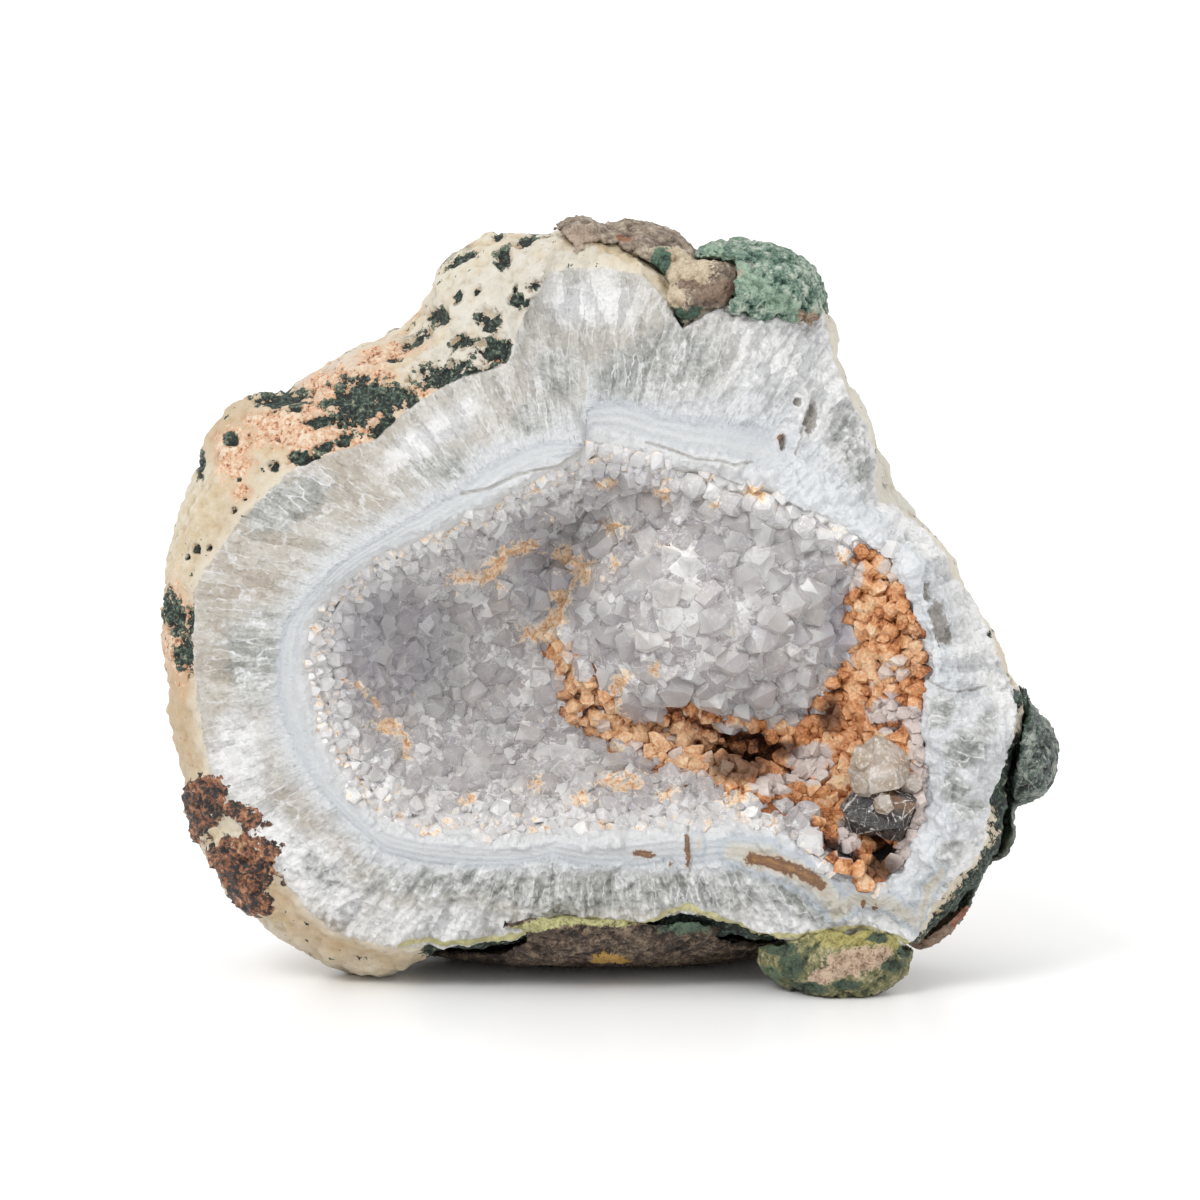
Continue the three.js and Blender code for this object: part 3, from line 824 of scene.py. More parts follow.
# Marks on the wall, by what they are.
MARKS: dict[str, Marks] = {
    # islands of dark green clay in the skin
    "dark": (
        *spots(
            (-27.5, 103.8, 5.2, 2.0, 6), (-20.5, 103.8, 3.2, 1.5, 25), (-18.5, 108, 4, 2.4, 5),
            (-15, 107.8, 1.2, 1.6), (-25, 109.3, 2, 1.3), (-20, 113, 1.8, 2.2),
            (-12.8, 115.8, 1.7, 0.8, 15), (-12.6, 118.6, 1.2, 0.9), (-15.5, 116, 1.2, 1.1, 40),
            (-15.7, 118, 0.4, 0.8), (-22, 118, 0.5, 1, -30), (-25.5, 117, 0.9, 1.2),
            (-28.5, 113.5, 1.6, 1.6, 50), (-29.8, 114.5, 1.4, 0.8), (-18, 123.5, 1.3, 1.8),
            (-25, 123.5, 2.6, 0.9, 20), (-14, 127, 2.2, 0.9, 30), (-18.8, 127.5, 0.9, 1),
            (-10.5, 128, 0.8, 0.7), (-32.5, 110.5, 2.8, 1, 35), (-36, 106.8, 1.2, 0.8),
            (-42, 99.5, 5, 4.2, 10), (-37, 99.5, 2.6, 2.8, 0), (-37.5, 95, 3, 1.8, 20),
            (-44, 93, 1.3, 1.5, -20), (-47.3, 91.8, 1.6, 1.1, 20), (-48, 96.3, 2.4, 1.1, 8),
            (-50, 89.6, 3, 1.2, -14), (-55, 100.8, 4.4, 1.9, 2), (-52.5, 98.5, 1.4, 0.8),
            (-33, 99.5, 1.2, 2.4, 30), (-63, 93.2, 1.2, 1.1), (-68.6, 89, 0.9, 2.2), (-62, 81, 0.55, 0.6),
            (-60.2, 83, 0.4, 0.4), (-68.7, 74.8, 0.75, 0.95), (-66.4, 75, 0.5, 0.55),
            (-70.3, 73.5, 0.4, 0.4), (-61.5, 86.5, 0.35, 0.35), (-68.5, 62.5, 2.4, 2.6, -20),
            (-73, 64, 1.6, 4.2, 8), (-70.5, 57.5, 1.9, 3.4, 5), (-55.5, 88.8, 0.8, 1.2),
            (62.5, 60.3, 0.9, 1.4, 40), (66.8, 51.5, 1, 3.4, 28), (11.3, 112.4, 2, 2.3),
            (65.4, 34.5, 3.0, 4.6, 10),
        ),
        Stroke(((68.5, 40), (66.5, 33), (66.5, 25), (62.5, 19), (58.5, 14.5), (55, 9.5), (53, 4)), 3.0),
        Stroke(((-29, 6.5), (-15, 8.3), (-3, 10.6), (5, 10), (13, 12), (20, 10.5), (28, 7.4)), 2.0),
    ),
    # porous patches stained orange and pink
    "rust": spots(
        (-47, 101.5, 5.5, 4, 30), (-53, 95.5, 7, 3.4, 15), (-62.5, 91, 3, 4, 10), (-61, 84.3, 1.7, 1.3),
        (-43, 95.5, 8, 5, 20), (-37, 108, 6, 1.4, 14), (-31, 100.5, 2.6, 1.8), (-47, 91.5, 6, 2.2, 12),
        (-72, 61, 2.6, 7.5, 5), (-39.5, 103.6, 3, 2, 0), (-18.5, 106.5, 1.2, 1.2), (-58, 96.5, 3, 1.4),
    ),
    # the scab of weathered basalt low on the left
    "scab": spots(
        (-67.5, 32.5, 4.2, 4.5, -30), (-61.5, 30.8, 5.2, 1.7, -28), (-69, 28.5, 2.6, 3.4),
        (-60.5, 21, 5.2, 7.2, -8), (-64.5, 23.5, 3, 3, -30), (-60, 15.5, 4, 2.6, -35),
    ),
    # warm tints in the quartz and the skin
    "warm": spots(
        (-60, 62, 9, 22), (-57, 78, 8, 7, 30), (-50, 84, 12, 5, 25), (-47, 30, 9, 5, -40),
        (-38, 80, 6, 5), (-52, 13, 12, 4, -38), (-72, 45, 5, 14), (-66, 98, 8, 8, 30),
        (-43, 8, 10, 2.5, -10), (-41, 91, 9, 4, 15),
    ),
    # clear grey quartz
    "clear": (
        *spots(
            (-26, 19.3, 13, 2.6, 2), (-5, 18, 16, 3.6), (14, 17.5, 12, 3.2), (27, 18.6, 7, 2, -14),
            (35, 15, 3.5, 3, -30), (11, 106, 8, 6, 20), (3, 103, 5, 5, -30), (-9, 104, 4, 4),
            (-12, 97, 4, 3, 20), (-28, 88, 5, 2), (-58, 57, 6, 8), (-53, 82, 8, 4, 30), (40, 92, 3, 7, 15),
            (44, 71.5, 3, 3), (-48, 21, 3.4, 2, -50), (58.5, 41.5, 3.6, 3.2, 20), (56, 24, 3, 2, 40),
            (56.5, 35, 2.2, 3), (62, 45, 2, 3, -30), (54.5, 47.5, 2, 3), (54, 17, 1.6, 3, -40),
            (59, 31, 3, 1.6, 20),
        ),
        Stroke(((21, 20.4), (27, 18.4), (33, 14.6)), 2.0),
    ),
    # blue-grey agate arches on the lower right
    "arch": (
        Stroke(((20.5, 24.5), (25, 23.6), (30, 21.4), (34.5, 18.4), (37, 15.5)), 3.3),
        Stroke(((37, 14), (40.5, 16.6), (46, 16), (51, 12.4)), 2.2),
        Stroke(((55, 21.5), (52.5, 17.5), (51, 13)), 1.2), Spot(14.5, 25.6, 1.6, 3.0, 10),
    ),
    # brown bands and dots of iron in the agate
    "stripe": (
        *spots(
            (41.8, 15.8, 0.5, 0.9), (43.7, 15.3, 0.4, 1.1), (9.9, 22.2, 0.5, 0.35), (28.2, 93.3, 0.6, 1.3),
            (-67.9, 44, 0.5, 0.9),
        ),
        Stroke(((23.3, 23.4), (27, 22.6), (31, 21), (34.4, 19.2)), 1.15),
        Stroke(((4.2, 24.1), (6.8, 23.8)), 0.7), Stroke(((12.8, 22), (12.6, 27)), 0.45),
    ),
    # whiter skin near the top
    "milky": (
        Spot(-15, 117, 14, 9, 20), Spot(-24, 107, 10, 4, 20), Spot(-47, 105, 6, 2, 30),
        Stroke(((39, 118), (42, 102), (46, 88), (54, 76), (60, 66)), 7.0),
    ),
    # nodules of chalcedony
    "nodule": spots(
        (59, 42, 9, 8.5, 20), (56.5, 31, 6, 6), (57.5, 51, 7, 5, -50), (62, 34, 5.5, 5),
        (53.5, 66, 4, 9, 20),
    ),
    # whiter quartz
    "bright": spots(
        (-50, 22, 15, 5, -42), (-61, 40, 5, 9), (-30, 12, 12, 3), (-4, 116, 8, 4), (-30, 93, 9, 3, 30),
        (28, 104, 8, 9),
    ),
    # grey spaces between white blades
    "pore": spots(
        (54, 62.5, 1.2, 4, 12), (55.8, 60.5, 0.9, 1.8), (52.3, 67.6, 0.7, 1.8), (33, 96.5, 0.9, 3, -12),
        (30.6, 99.2, 0.6, 0.9), (28.5, 92.5, 0.5, 1.4),
    ),
    # open cracks
    "crack": (
        Stroke(((-24.5, 83.8), (-20, 84.6), (-15, 87), (-9, 88.2), (-4.4, 91)), 0.35),
        Stroke(((6, 92.4), (10, 91.2), (14, 89.6), (18, 89.4), (20.5, 88.6), (23.5, 89.2)), 0.3),
        Stroke(((30.6, 90.5), (31.8, 95), (32.4, 98.6)), 0.3),
        Stroke(((12.9, 20), (13.4, 23), (12.6, 26), (12.8, 29)), 0.3),
        Stroke(((49, 58), (52, 53.5), (56, 50.5), (62, 51.5)), 0.25),
    ),
    # the yellow-green rind next to the basalt below
    "rind": (
        Stroke((
            (-35, 8.6), (-28, 8.8), (-20, 9.2), (-15, 10.8), (-11, 12.6), (-3, 13.2), (5, 12.4), (10, 14.2),
            (13, 15.2), (18, 13.8), (24, 10.4), (33, 10.8), (40, 12), (45, 11.2), (50, 9),
        ), 0.45),
    ),
}


@dataclass(frozen=True)
class WallFinish:
    """Cream skin with dark islands over quartz that grew inwards in combs, ending in pale agate, with painted
    light on its ridges and painted shade in its hollows.
    """

    cream: Colour = lit(214, 196, 164)
    amber: Colour = lit(190, 158, 116)
    milk: Colour = lit(228, 221, 205)
    dark_green: Colour = lit(38, 48, 42)
    rust: Colour = lit(222, 170, 132)
    rust_deep: Colour = lit(160, 98, 66)
    scab: Colour = lit(62, 46, 38)
    scab_rust: Colour = lit(150, 94, 62)
    white: Colour = lit(236, 236, 236)
    ice: Colour = lit(222, 226, 230)
    beige: Colour = lit(180, 166, 148)
    agate_deep: Colour = lit(146, 158, 172)
    iron: Colour = lit(116, 74, 38)
    lime: Colour = lit(178, 172, 112)

    def material(self) -> Material:
        """Builds the wall's material.

        Returns:
            The material.
        """
        g = Graph.material("banded quartz and skin")
        here = g.place()
        fine = g.noise(here, 0.55, 4, 0.65)
        middle = g.noise(here, 2.6, 4, 0.6)
        is_skin = g.ease(g.value("skin") + (middle - 0.5) * 1.6 + (fine - 0.5) * 0.5, -0.15, 0.15)
        scab = self._shown(g, "scab", middle, 2.4, 0.05)
        rind = self._shown(g, "rind", middle, 0.6, 0.2)
        outer = g.sum("MAXIMUM", is_skin, g.sum("MAXIMUM", scab, rind))
        face = self._face(g, here, fine, middle)
        skin = self._skin(g, here, fine, middle, scab, rind)
        return g.finish(g.blend(outer, face, skin))

    @staticmethod
    def _shown(g: Graph, name: str, ragged: Socket, fray: float, soft: float) -> Socket:
        """How much of a mark shows, from 0 to 1, where noise frays its soft edge."""
        return g.ease(g.value(name) + (ragged - 0.5) * fray, -soft, soft)

    def _face(self, g: Graph, here: Any, fine: Socket, middle: Socket) -> NodeSocket:
        """The shader of the broken face.

        Args:
            g: The material's nodes.
            here: Where, in mm.
            fine: Fine noise.
            middle: Coarser noise.

        Returns:
            The shader.
        """
        comb = g.direction("comb")
        stage, ridge = g.value("stage"), g.value("ridge")
        fibre = g.noise(comb, 1.9, 4, 0.6)
        blade = g.noise(comb, 0.7, 3, 0.6)
        cloud = g.noise(here, 5.5, 4, 0.6)
        grit, blot, haze = fine - 0.5, middle - 0.5, cloud - 0.5
        steep = g.vector_sum("MULTIPLY", comb, (1.0, 1.0, 1.6))
        bent = g.bent(steep, here)
        _, tone = g.grains(bent, 1.9)
        veins = g.ease(g.cracks(bent, 1.9), 0.07, 0.0) * g.ease(g.noise(here, 3.0, 3, 0.6), 0.42, 0.6)
        hairs = g.ease(g.cracks(bent, 0.8), 0.1, 0.0) * g.ease(g.noise(here, 2.0, 3, 0.6), 0.46, 0.62)
        # the body is lighter on ridges and darker in hollows as painted light and shade, besides its fibres,
        # clouds and grains
        body = ridge * 0.24 + fibre * 0.26 + cloud * 0.34 + (tone - 0.5) * 0.18 + blot * 0.2 + 0.05
        quartz = g.ramp(
            body,
            (0.24, lit(150, 147, 140)), (0.38, lit(188, 184, 176)), (0.5, lit(208, 204, 196)),
            (0.62, lit(224, 221, 215)), (0.8, self.white),
        )
        glassy = g.ramp(
            body + grit * 0.4 + (blade - 0.5) * 0.4,
            (0.24, lit(118, 120, 114)), (0.4, lit(162, 164, 159)), (0.54, lit(204, 205, 202)),
            (0.68, lit(246, 246, 246)),
        )
        clear = g.ease(g.value("clear") + blot * 1.3, -0.3, 0.35)
        warm = g.ease(g.value("warm") + haze * 1.1, -0.7, 0.6)
        near_band = g.ease(stage + blot * 0.3, 2.4, 2.0)
        bright = g.ease(g.value("bright") + haze * 1.6, -0.4, 0.5)
        white_side = g.sum("MAXIMUM", g.ease(g.value("across") + haze * 22.0, 8.0, 30.0), bright)
        bright_share = g.ease(body + (tone - 0.5) * 0.16, 0.32, 0.54)
        quartz = g.layers(
            quartz,
            (warm * g.ease(body, 0.72, 0.4) * 0.7, self.beige),
            (white_side * 0.85, g.mix(bright_share, lit(206, 207, 209), lit(250, 250, 250))),
            (near_band * g.ease(blade + near_band * 0.3, 0.45, 0.7) * 0.8, self.ice),
            # painted highlight on the ridges
            (g.ease(ridge, 0.62, 0.95) * 0.5, self.white),
            (veins * 0.75, self.white),
            (hairs * 0.5, self.white),
        )
        nodule = g.value("nodule") + blot * 0.5
        rings = g.sum("SINE", nodule * 30.0 + fine * 3.0) * 0.5 + 0.5
        quartz = g.layers(
            quartz,
            (g.ease(nodule, 0.0, 0.25) * 0.35, g.mix(fine, lit(206, 211, 217), self.white)),
            (rings * g.ease(nodule, 0.05, 0.3) * 0.2, self.agate_deep),
            (clear * 0.9, glassy),
            (veins * clear * 0.8, lit(244, 245, 246)),
        )
        depth = stage - 1.0 + haze * 0.25 + grit * 0.1
        lines = g.sum("SINE", depth * 38.0) * 0.5 + 0.5
        band = g.ramp(
            depth,
            (0.0, lit(220, 220, 220)), (0.3, lit(222, 223, 224)), (0.44, lit(206, 209, 212)),
            (0.56, lit(214, 216, 217)), (0.78, lit(208, 211, 214)), (0.94, lit(198, 203, 208)),
            (1.0, lit(222, 224, 225)),
        )
        band = g.layers(
            band,
            (lines * g.ease(depth, 0.3, 0.5) * 0.07, self.agate_deep),
            # painted shade in the band's hollows and painted highlight on its ridges
            (g.ease(ridge, 0.5, 0.1) * 0.3, lit(182, 184, 189)),
            (g.ease(ridge + blot * 0.5, 0.55, 0.8) * 0.6, self.white),
        )
        in_band = g.ease(stage + (blade - 0.5) * 0.5 + grit * 0.3, 2.05, 1.85) * g.value("banded")
        arch = g.value("arch") + blot * 0.7 + haze * 0.4
        arch_colour = g.ramp(
            arch,
            (0.0, lit(206, 211, 217)), (0.2, lit(188, 197, 207)), (0.4, lit(196, 202, 207)),
            (0.6, lit(210, 208, 200)), (0.9, lit(204, 196, 180)),
        )
        stripe = g.value("stripe") + (g.noise(here, 1.2, 4, 0.7) - 0.5) * 2.4 - 0.1
        pore = g.value("pore") + grit * 1.6
        crack = g.value("crack") + grit * 0.8
        stone = g.layers(
            g.mix(in_band, quartz, band),
            (g.ease(arch + grit * 0.4, -0.1, 0.3) * 0.85, arch_colour),
            (g.ease(stripe, -0.7, 0.2) * 0.35, lit(196, 164, 118)),
            (g.ease(stripe, -0.1, 0.25) * 0.92, self.iron),
            (g.ease(stripe + grit * 0.8, 0.4, 1.1) * 0.8, lit(172, 126, 76)),
            (g.ease(pore, -0.1, 0.2) * 0.8, g.mix(fine, lit(92, 88, 82), lit(176, 166, 152))),
            (g.ease(crack, -0.1, 0.5) * 0.4, lit(160, 148, 130)),
        )
        facet, _ = g.grains(here, 0.8)
        rough_ground = 1 - g.ease(stage, 2.0, 1.75) * 0.8
        normal = g.bump((blade * rough_ground, 0.45), (facet * rough_ground, 0.6), (fine, 0.26))
        return g.surface(Base_Color=stone, Roughness=0.28 + fine * 0.16, Normal=normal, IOR=1.5)

    def _skin(
        self, g: Graph, here: Any, fine: Socket, middle: Socket, scab: Socket, rind: Socket
    ) -> NodeSocket:
        """The shader of the outer skin.

        Args:
            g: The material's nodes.
            here: Where, in mm.
            fine: Fine noise.
            middle: Coarser noise.
            scab: How much of the scab shows.
            rind: How much of the rind shows.

        Returns:
            The shader.
        """
        behind, relief = g.value("behind"), g.value("relief")
        grit, blot = fine - 0.5, middle - 0.5
        wide = g.noise(here, 11.0, 2)
        ragged = g.noise(here, 2.4, 4, 0.66)
        ridge = g.value("ridge")
        skin = g.layers(
            g.mix(g.ease(wide + blot * 0.6, 0.36, 0.64), self.cream, lit(220, 212, 190)),
            (g.ease(middle + grit * 0.4, 0.5, 0.66) * 0.6, self.milk),
            (g.ease(g.noise(here, 6.0, 4, 0.65), 0.52, 0.66) * 0.45, lit(206, 178, 134)),
            (g.ease(g.value("milky") + blot * 1.6, -0.3, 0.4) * 0.7, lit(218, 216, 208)),
            (g.ease(g.cracks(here, 3.4), 0.05, 0.0) * g.ease(middle, 0.45, 0.6) * 0.35, lit(238, 230, 212)),
            # painted shade in the skin's hollows and painted highlight on its ridges
            (g.ease(ridge + grit * 0.3, 0.5, 0.1) * 0.5, lit(176, 150, 112)),
            (g.ease(ridge + grit * 0.3, 0.55, 0.85) * 0.5, self.milk),
            (g.ease(g.value("warm") + (wide - 0.5) * 1.4, -0.6, 0.7) * 0.6, self.amber),
            # painted shade: the skin's low places are tinted darker amber
            (g.ease(relief, 0.35, 0.0) * 0.4, self.amber),
            (g.ease(g.value("skin") + blot * 2.0, 2.4, 0.3) * 0.6, self.milk),
            (g.ease(g.value("rust") + blot * 1.4, -0.8, 0.5) * 0.5, self.rust),
            (g.ease(g.noise(here, 0.9, 3, 0.7), 0.66, 0.7) * 0.5, lit(122, 96, 70)),
        )
        _, granule = g.grains(here, 0.75)
        rust = g.ramp(
            # partly painted light and shade: the rust is lighter on ridges and darker in hollows
            granule * 0.3 + grit * 1.3 + blot * 0.5 + ridge * 0.2 + 0.3,
            (0.2, lit(48, 42, 34)), (0.32, self.rust_deep), (0.44, self.rust),
            (0.6, lit(228, 192, 158)), (0.76, lit(238, 220, 196)),
        )
        rust_shown = self._shown(g, "rust", ragged, 4.0, 0.12)
        crust = g.ramp(
            (ragged - 0.5) * 1.2 + grit * 0.8 + granule * 0.2 + 0.38,
            (0.3, lit(20, 16, 14)), (0.44, self.scab), (0.56, self.scab_rust),
            (0.68, lit(176, 124, 88)), (0.8, lit(204, 172, 134)),
        )
        strays = g.ease(g.noise(here, 4.6, 5, 0.68) + grit * 0.1, 0.6, 0.615) * behind
        pits = g.ease(g.noise(here, 1.7, 3, 0.6) + (wide - 0.5) * 0.3, 0.69, 0.71)
        stray_rust = g.ease(g.noise(here, 13.0, 5, 0.72), 0.57, 0.66) * behind
        island = g.value("dark") + (ragged - 0.5) * 3.6 + grit * 0.4
        islands = g.sum("MAXIMUM", g.ease(island, -0.02, 0.05), g.sum("MAXIMUM", strays, pits))
        clay = g.ramp(
            # partly painted light and shade: the clay is lighter on ridges and darker in hollows
            grit * 1.1 + ragged * 0.5 + ridge * 0.24 + 0.12,
            (0.36, lit(16, 22, 19)), (0.47, self.dark_green), (0.56, lit(66, 84, 72)),
            (0.66, lit(104, 120, 102)), (0.76, lit(176, 160, 130)),
        )
        skin = g.layers(
            skin,
            (stray_rust * 0.8, rust),
            (rust_shown, rust),
            (g.ease(island, -0.3, 0.0) * 0.35, lit(168, 132, 94)),
            (islands, clay),
            (scab, crust),
            (rind * 0.85, g.mix(fine, self.lime, lit(206, 200, 150))),
        )
        roughness = 0.36 + fine * 0.16 + islands * 0.3
        return g.surface(Base_Color=skin, Roughness=roughness, Normal=g.bump((fine, 0.25)), IOR=1.5)


@dataclass(frozen=True)
class WallDepths:
    """How many mm each form of the wall stands out or goes in."""

    blade: float = 1.1
    fine_blade: float = 0.5
    block: float = 1.3
    small_block: float = 0.7
    chunk: float = 1.3
    swell: float = 0.9
    flute: float = 0.5
    band: float = 0.22
    agate: float = 0.06
    crack: float = 0.3
    pore: float = 0.9
    nodule: float = 0.45
    arch: float = 0.3
    bubble: float = 1.1
    small_bubble: float = 0.55
    skin_swell: float = 0.8
    skin_block: float = 0.3
    ragged: float = 0.4
    island: float = 0.7
    rust: float = 0.9
    scab: float = 0.4


@dataclass
class Wall(Piece):
    """The geode's wall: its skin outside, its broken face and the lining that the crystals stand on."""

    name: str = "geode_wall_stone"
    node: str = "geode_wall"
    slot: str = "banded_quartz"
    voxel: float = 1.35  # mm across a face before any is split
    refined: tuple[float, ...] = (60.0, 7.0)  # mm of skin whose faces are split each time
    triangles: int = 196000
    floor: float = 0.05  # mm under which nothing goes
    agate_lines: float = 38.0  # radians of the band's fine lines in one stage of growth
    grain: Grain = Grain(11)
    depth: WallDepths = WallDepths()
    finish: WallFinish = WallFinish()

    def build(self) -> Object:
        """Makes and dresses the wall.

        Returns:
            The wall's object.
        """
        stone = remeshed(self.name, self.node, self.voxel)
        mesh = stone.data
        move_points(mesh, relaxed(mesh, points_of(mesh), 2))
        for most_skin in self.refined:
            self._refine(mesh, most_skin)
            move_points(mesh, relaxed(mesh, points_of(mesh), 2))
        points = points_of(mesh)
        growth = Growth.at(points)
        values = {name: marked(marks, points) for name, marks in MARKS.items()}
        relief = self._relief(points, growth, values)
        moved = points + normals_of(mesh) * relief[:, None]
        moved[:, 2] = np.maximum(moved[:, 2], self.floor)
        # how high the skin stands, which the finish tints darker amber in its low places as painted shade
        values["relief"] = np.clip(relief * 0.35 + 0.5, 0, 1)
        # painted light and shade: how far each point stands above its neighbours, which the finish paints
        # whiter on ridges and darker in hollows
        around = relaxed(mesh, np.repeat(relief[:, None], 3, axis=1), 9)[:, 0]
        values["ridge"] = np.clip((relief - around) * 1.6 + 0.5, 0, 1)
        values |= self._grown(points, growth)
        move_points(mesh, moved)
        self._thin_out(stone, moved, values)
        dress(stone, self.finish.material(), Shading.SMOOTH)
        self._break_face(stone.data)
        return self.hand_in(stone)

    @staticmethod
    def _refine(mesh: Mesh, most_skin: float) -> None:
        """Splits faces that show from the front into four.

        Args:
            mesh: The wall's mesh.
            most_skin: How far they go beyond the broken face, in mm.
        """
        points, normals = points_of(mesh), normals_of(mesh)
        growth = Growth.at(points)
        in_front = (points[:, 1] < 4.0) & (normals[:, 1] < 0.35)
        fine = in_front & (growth.stage > 1.0) & (growth.skin < most_skin)
        made = bmesh.new()
        made.from_mesh(mesh)
        made.verts.ensure_lookup_table()
        edges = [edge for edge in made.edges if all(fine[vertex.index] for vertex in edge.verts)]
        bmesh.ops.subdivide_edges(made, edges=edges, cuts=1, use_grid_fill=True)
        bmesh.ops.triangulate(made, faces=[face for face in made.faces if len(face.verts) > 4])
        made.to_mesh(mesh)
        made.free()

    def _thin_out(self, stone: Object, points: Points, values: Mapping[str, np.ndarray]) -> None:
        """Takes away the points that show least and stores the values at those that stay.

        Args:
            stone: The wall's object.
            points: Its points in mm.
            values: What the finish reads, at those points.
        """
        fewer = stone.modifiers.new("fewer faces", "DECIMATE")
        fewer.ratio = min(1.0, self.triangles / len(triangles_of(stone.data)))
        settle(stone)
        tree = KDTree(len(points))
        for number, point in enumerate(points.tolist()):
            tree.insert(point, number)
        tree.balance()
        nearest = [tree.find(point)[1] for point in points_of(stone.data).tolist()]
        for name, rows in values.items():
            keep_value(stone.data, name, rows[nearest])

    @staticmethod
    def _break_face(mesh: Mesh) -> None:
        """Gives the broken quartz flat facets.

        Args:
            mesh: The wall's mesh.
        """
        growth = Growth.at(centres_of(mesh))
        mesh.polygons.foreach_set("use_smooth", (growth.skin > 0.4) | (growth.stage < 1.0))
        mesh.update()

    def _relief(self, points: Points, growth: Growth, shown: Mapping[str, np.ndarray]) -> np.ndarray:
        """How far each point stands out of the smooth stone.

        Args:
            points: Places in mm.
            growth: The growth there.
            shown: How strong each mark is there.

        Returns:
            Heights in mm.
        """
        grain, depth = self.grain, self.depth
        is_skin = ease(growth.skin, -0.6, 0.6)
        is_face = ease(growth.stage, 0.99, 1.06) * (1 - is_skin)
        inner = ease(growth.stage + 0.2 * grain.soft(points, 3), 1.5, 1.3)
        banded = ease(growth.stage + 0.3 * grain.soft(points, 3), 2.1, 1.85) * is_face * (1 - inner)
        broken = is_face * (1 - 0.92 * banded * self._banded(growth))
        sugary = np.maximum(ease(points[:, 0], -5, 35), ease(points[:, 2], 34, 22))
        face = broken * (0.5 + 0.75 * sugary) * self._broken(points, growth)
        lines = depth.agate * np.sin(growth.stage * self.agate_lines)
        face += banded * (depth.band * grain.layered(points, 4, 2) + lines)
        face -= is_face * depth.crack * ease(shown["crack"], -0.1, 0.7)
        face -= is_face * depth.pore * ease(shown["pore"] + 0.4 * grain.soft(points, 0.9), -0.2, 0.5)
        face += is_face * depth.nodule * ease(shown["nodule"], 0, 0.6)
        face += is_face * depth.arch * ease(shown["arch"], 0, 0.5)
        return face + is_skin * self._skin(points, shown)

    def _broken(self, points: Points, growth: Growth) -> np.ndarray:
        """The relief of the broken quartz: blades along its growth, blocks between them.

        Args:
            points: Places in mm.
            growth: The growth there.

        Returns:
            Heights in mm.
        """
        grain, depth, comb = self.grain, self.depth, growth.comb()
        steep = comb * (1.0, 1.0, 2.2)
        blades = grain.crystals(steep, 2.8, 1.2)
        fine_blades = grain.crystals(steep + 9, 1.3, 1.2)
        blocks = grain.crystals(points, 3.0, 1.1)
        small_blocks = grain.crystals(points + 50, 1.4, 1.1)
        share = 0.5 + 0.5 * np.clip(grain.soft(points, 6) * 1.4, -1, 1)
        bladed = depth.blade * blades + depth.fine_blade * fine_blades
        face = share * bladed + (1 - share) * (depth.block * blocks + 0.3 * fine_blades)
        chunky = ease(points[:, 0], 42, 50) * ease(growth.stage, 1.1, 1.5)
        face += depth.chunk * chunky * grain.crystals(points + 90, 4.4, 1.1)
        swell = depth.swell * grain.layered(points, 8)
        face += depth.small_block * small_blocks + swell + depth.flute * grain.layered(comb, 3.5, 2)
        return face + 0.75

    def _skin(self, points: Points, shown: Mapping[str, np.ndarray]) -> np.ndarray:
        """The relief of the outer skin.

        Args:
            points: Places in mm.
            shown: How strong each mark is there.

        Returns:
            Heights in mm.
        """
        grain, depth = self.grain, self.depth
        bubbles, _ = grain.cells(points, 5.5)
        small_bubbles, _ = grain.cells(points + 80, 2.3)
        ragged = grain.layered(points, 1.6)
        skin = depth.bubble * (0.45 - bubbles) + depth.small_bubble * (0.45 - small_bubbles)
        skin += depth.skin_swell * grain.layered(points, 7)
        skin += depth.ragged * ragged + depth.skin_block * grain.crystals(points + 30, 3.2, 0.9)
        island = ease(shown["dark"] + 0.9 * ragged, -0.1, 0.15)
        skin -= depth.island * island * (1 - grain.crystals(points + 70, 1.6, 1.0))
        skin += depth.rust * ease(shown["rust"], -0.3, 0.3) * grain.crystals(points + 20, 1.3, 1.0)
        return skin + ease(shown["scab"], -0.1, 0.2) * (depth.scab + 0.9 * ragged)

    @staticmethod
    def _grown(points: Points, growth: Growth) -> dict[str, np.ndarray]:
        """What the finish reads of the growth.

        Args:
            points: Places in mm.
            growth: The growth there.

        Returns:
            The values by their names.
        """
        return {
            "stage": growth.stage,
            "skin": growth.skin,
            "comb": growth.comb(),
            "across": points[:, 0],
            "behind": ease(points[:, 1], -2.0, 6.0),
            "banded": Wall._banded(growth),
        }

    @staticmethod
    def _banded(growth: Growth) -> np.ndarray:
        """How far the agate band shows, which ends on the right."""
        turned = np.degrees(growth.angle)
        return 1 - ease(turned, -50, -34) * ease(turned, 52, 36)


# Crystals ----

Solid = tuple[Points, Faces]


def cut_solid(normals: np.ndarray, offsets: np.ndarray) -> Solid:
    """The solid inside some planes.

    Args:
        normals: The planes' directions outwards.
        offsets: How far each plane is from the middle.

    Returns:
        The solid's points and faces.
    """
    triples = np.array(list(itertools.combinations(range(len(normals)), 3)))
    meeting = normals[triples]
    sound = np.abs(np.linalg.det(meeting)) > 1e-4
    corners = np.linalg.solve(meeting[sound], offsets[triples[sound]][..., None])[..., 0]
    corners = corners[(corners @ normals.T <= offsets + 1e-6).all(1)]
    corners = np.unique(corners.round(5), axis=0)
    faces = []
    for normal, offset in zip(normals, offsets, strict=True):
        on = np.flatnonzero(np.abs(corners @ normal - offset) < 1e-4)
        if len(on) < 3:
            continue
        spread = corners[on] - corners[on].mean(0)
        side = unit(spread[0])
        turn = np.arctan2(spread @ np.cross(normal, side), spread @ side)
        faces.append(on[np.argsort(turn)].tolist())
    return corners, faces


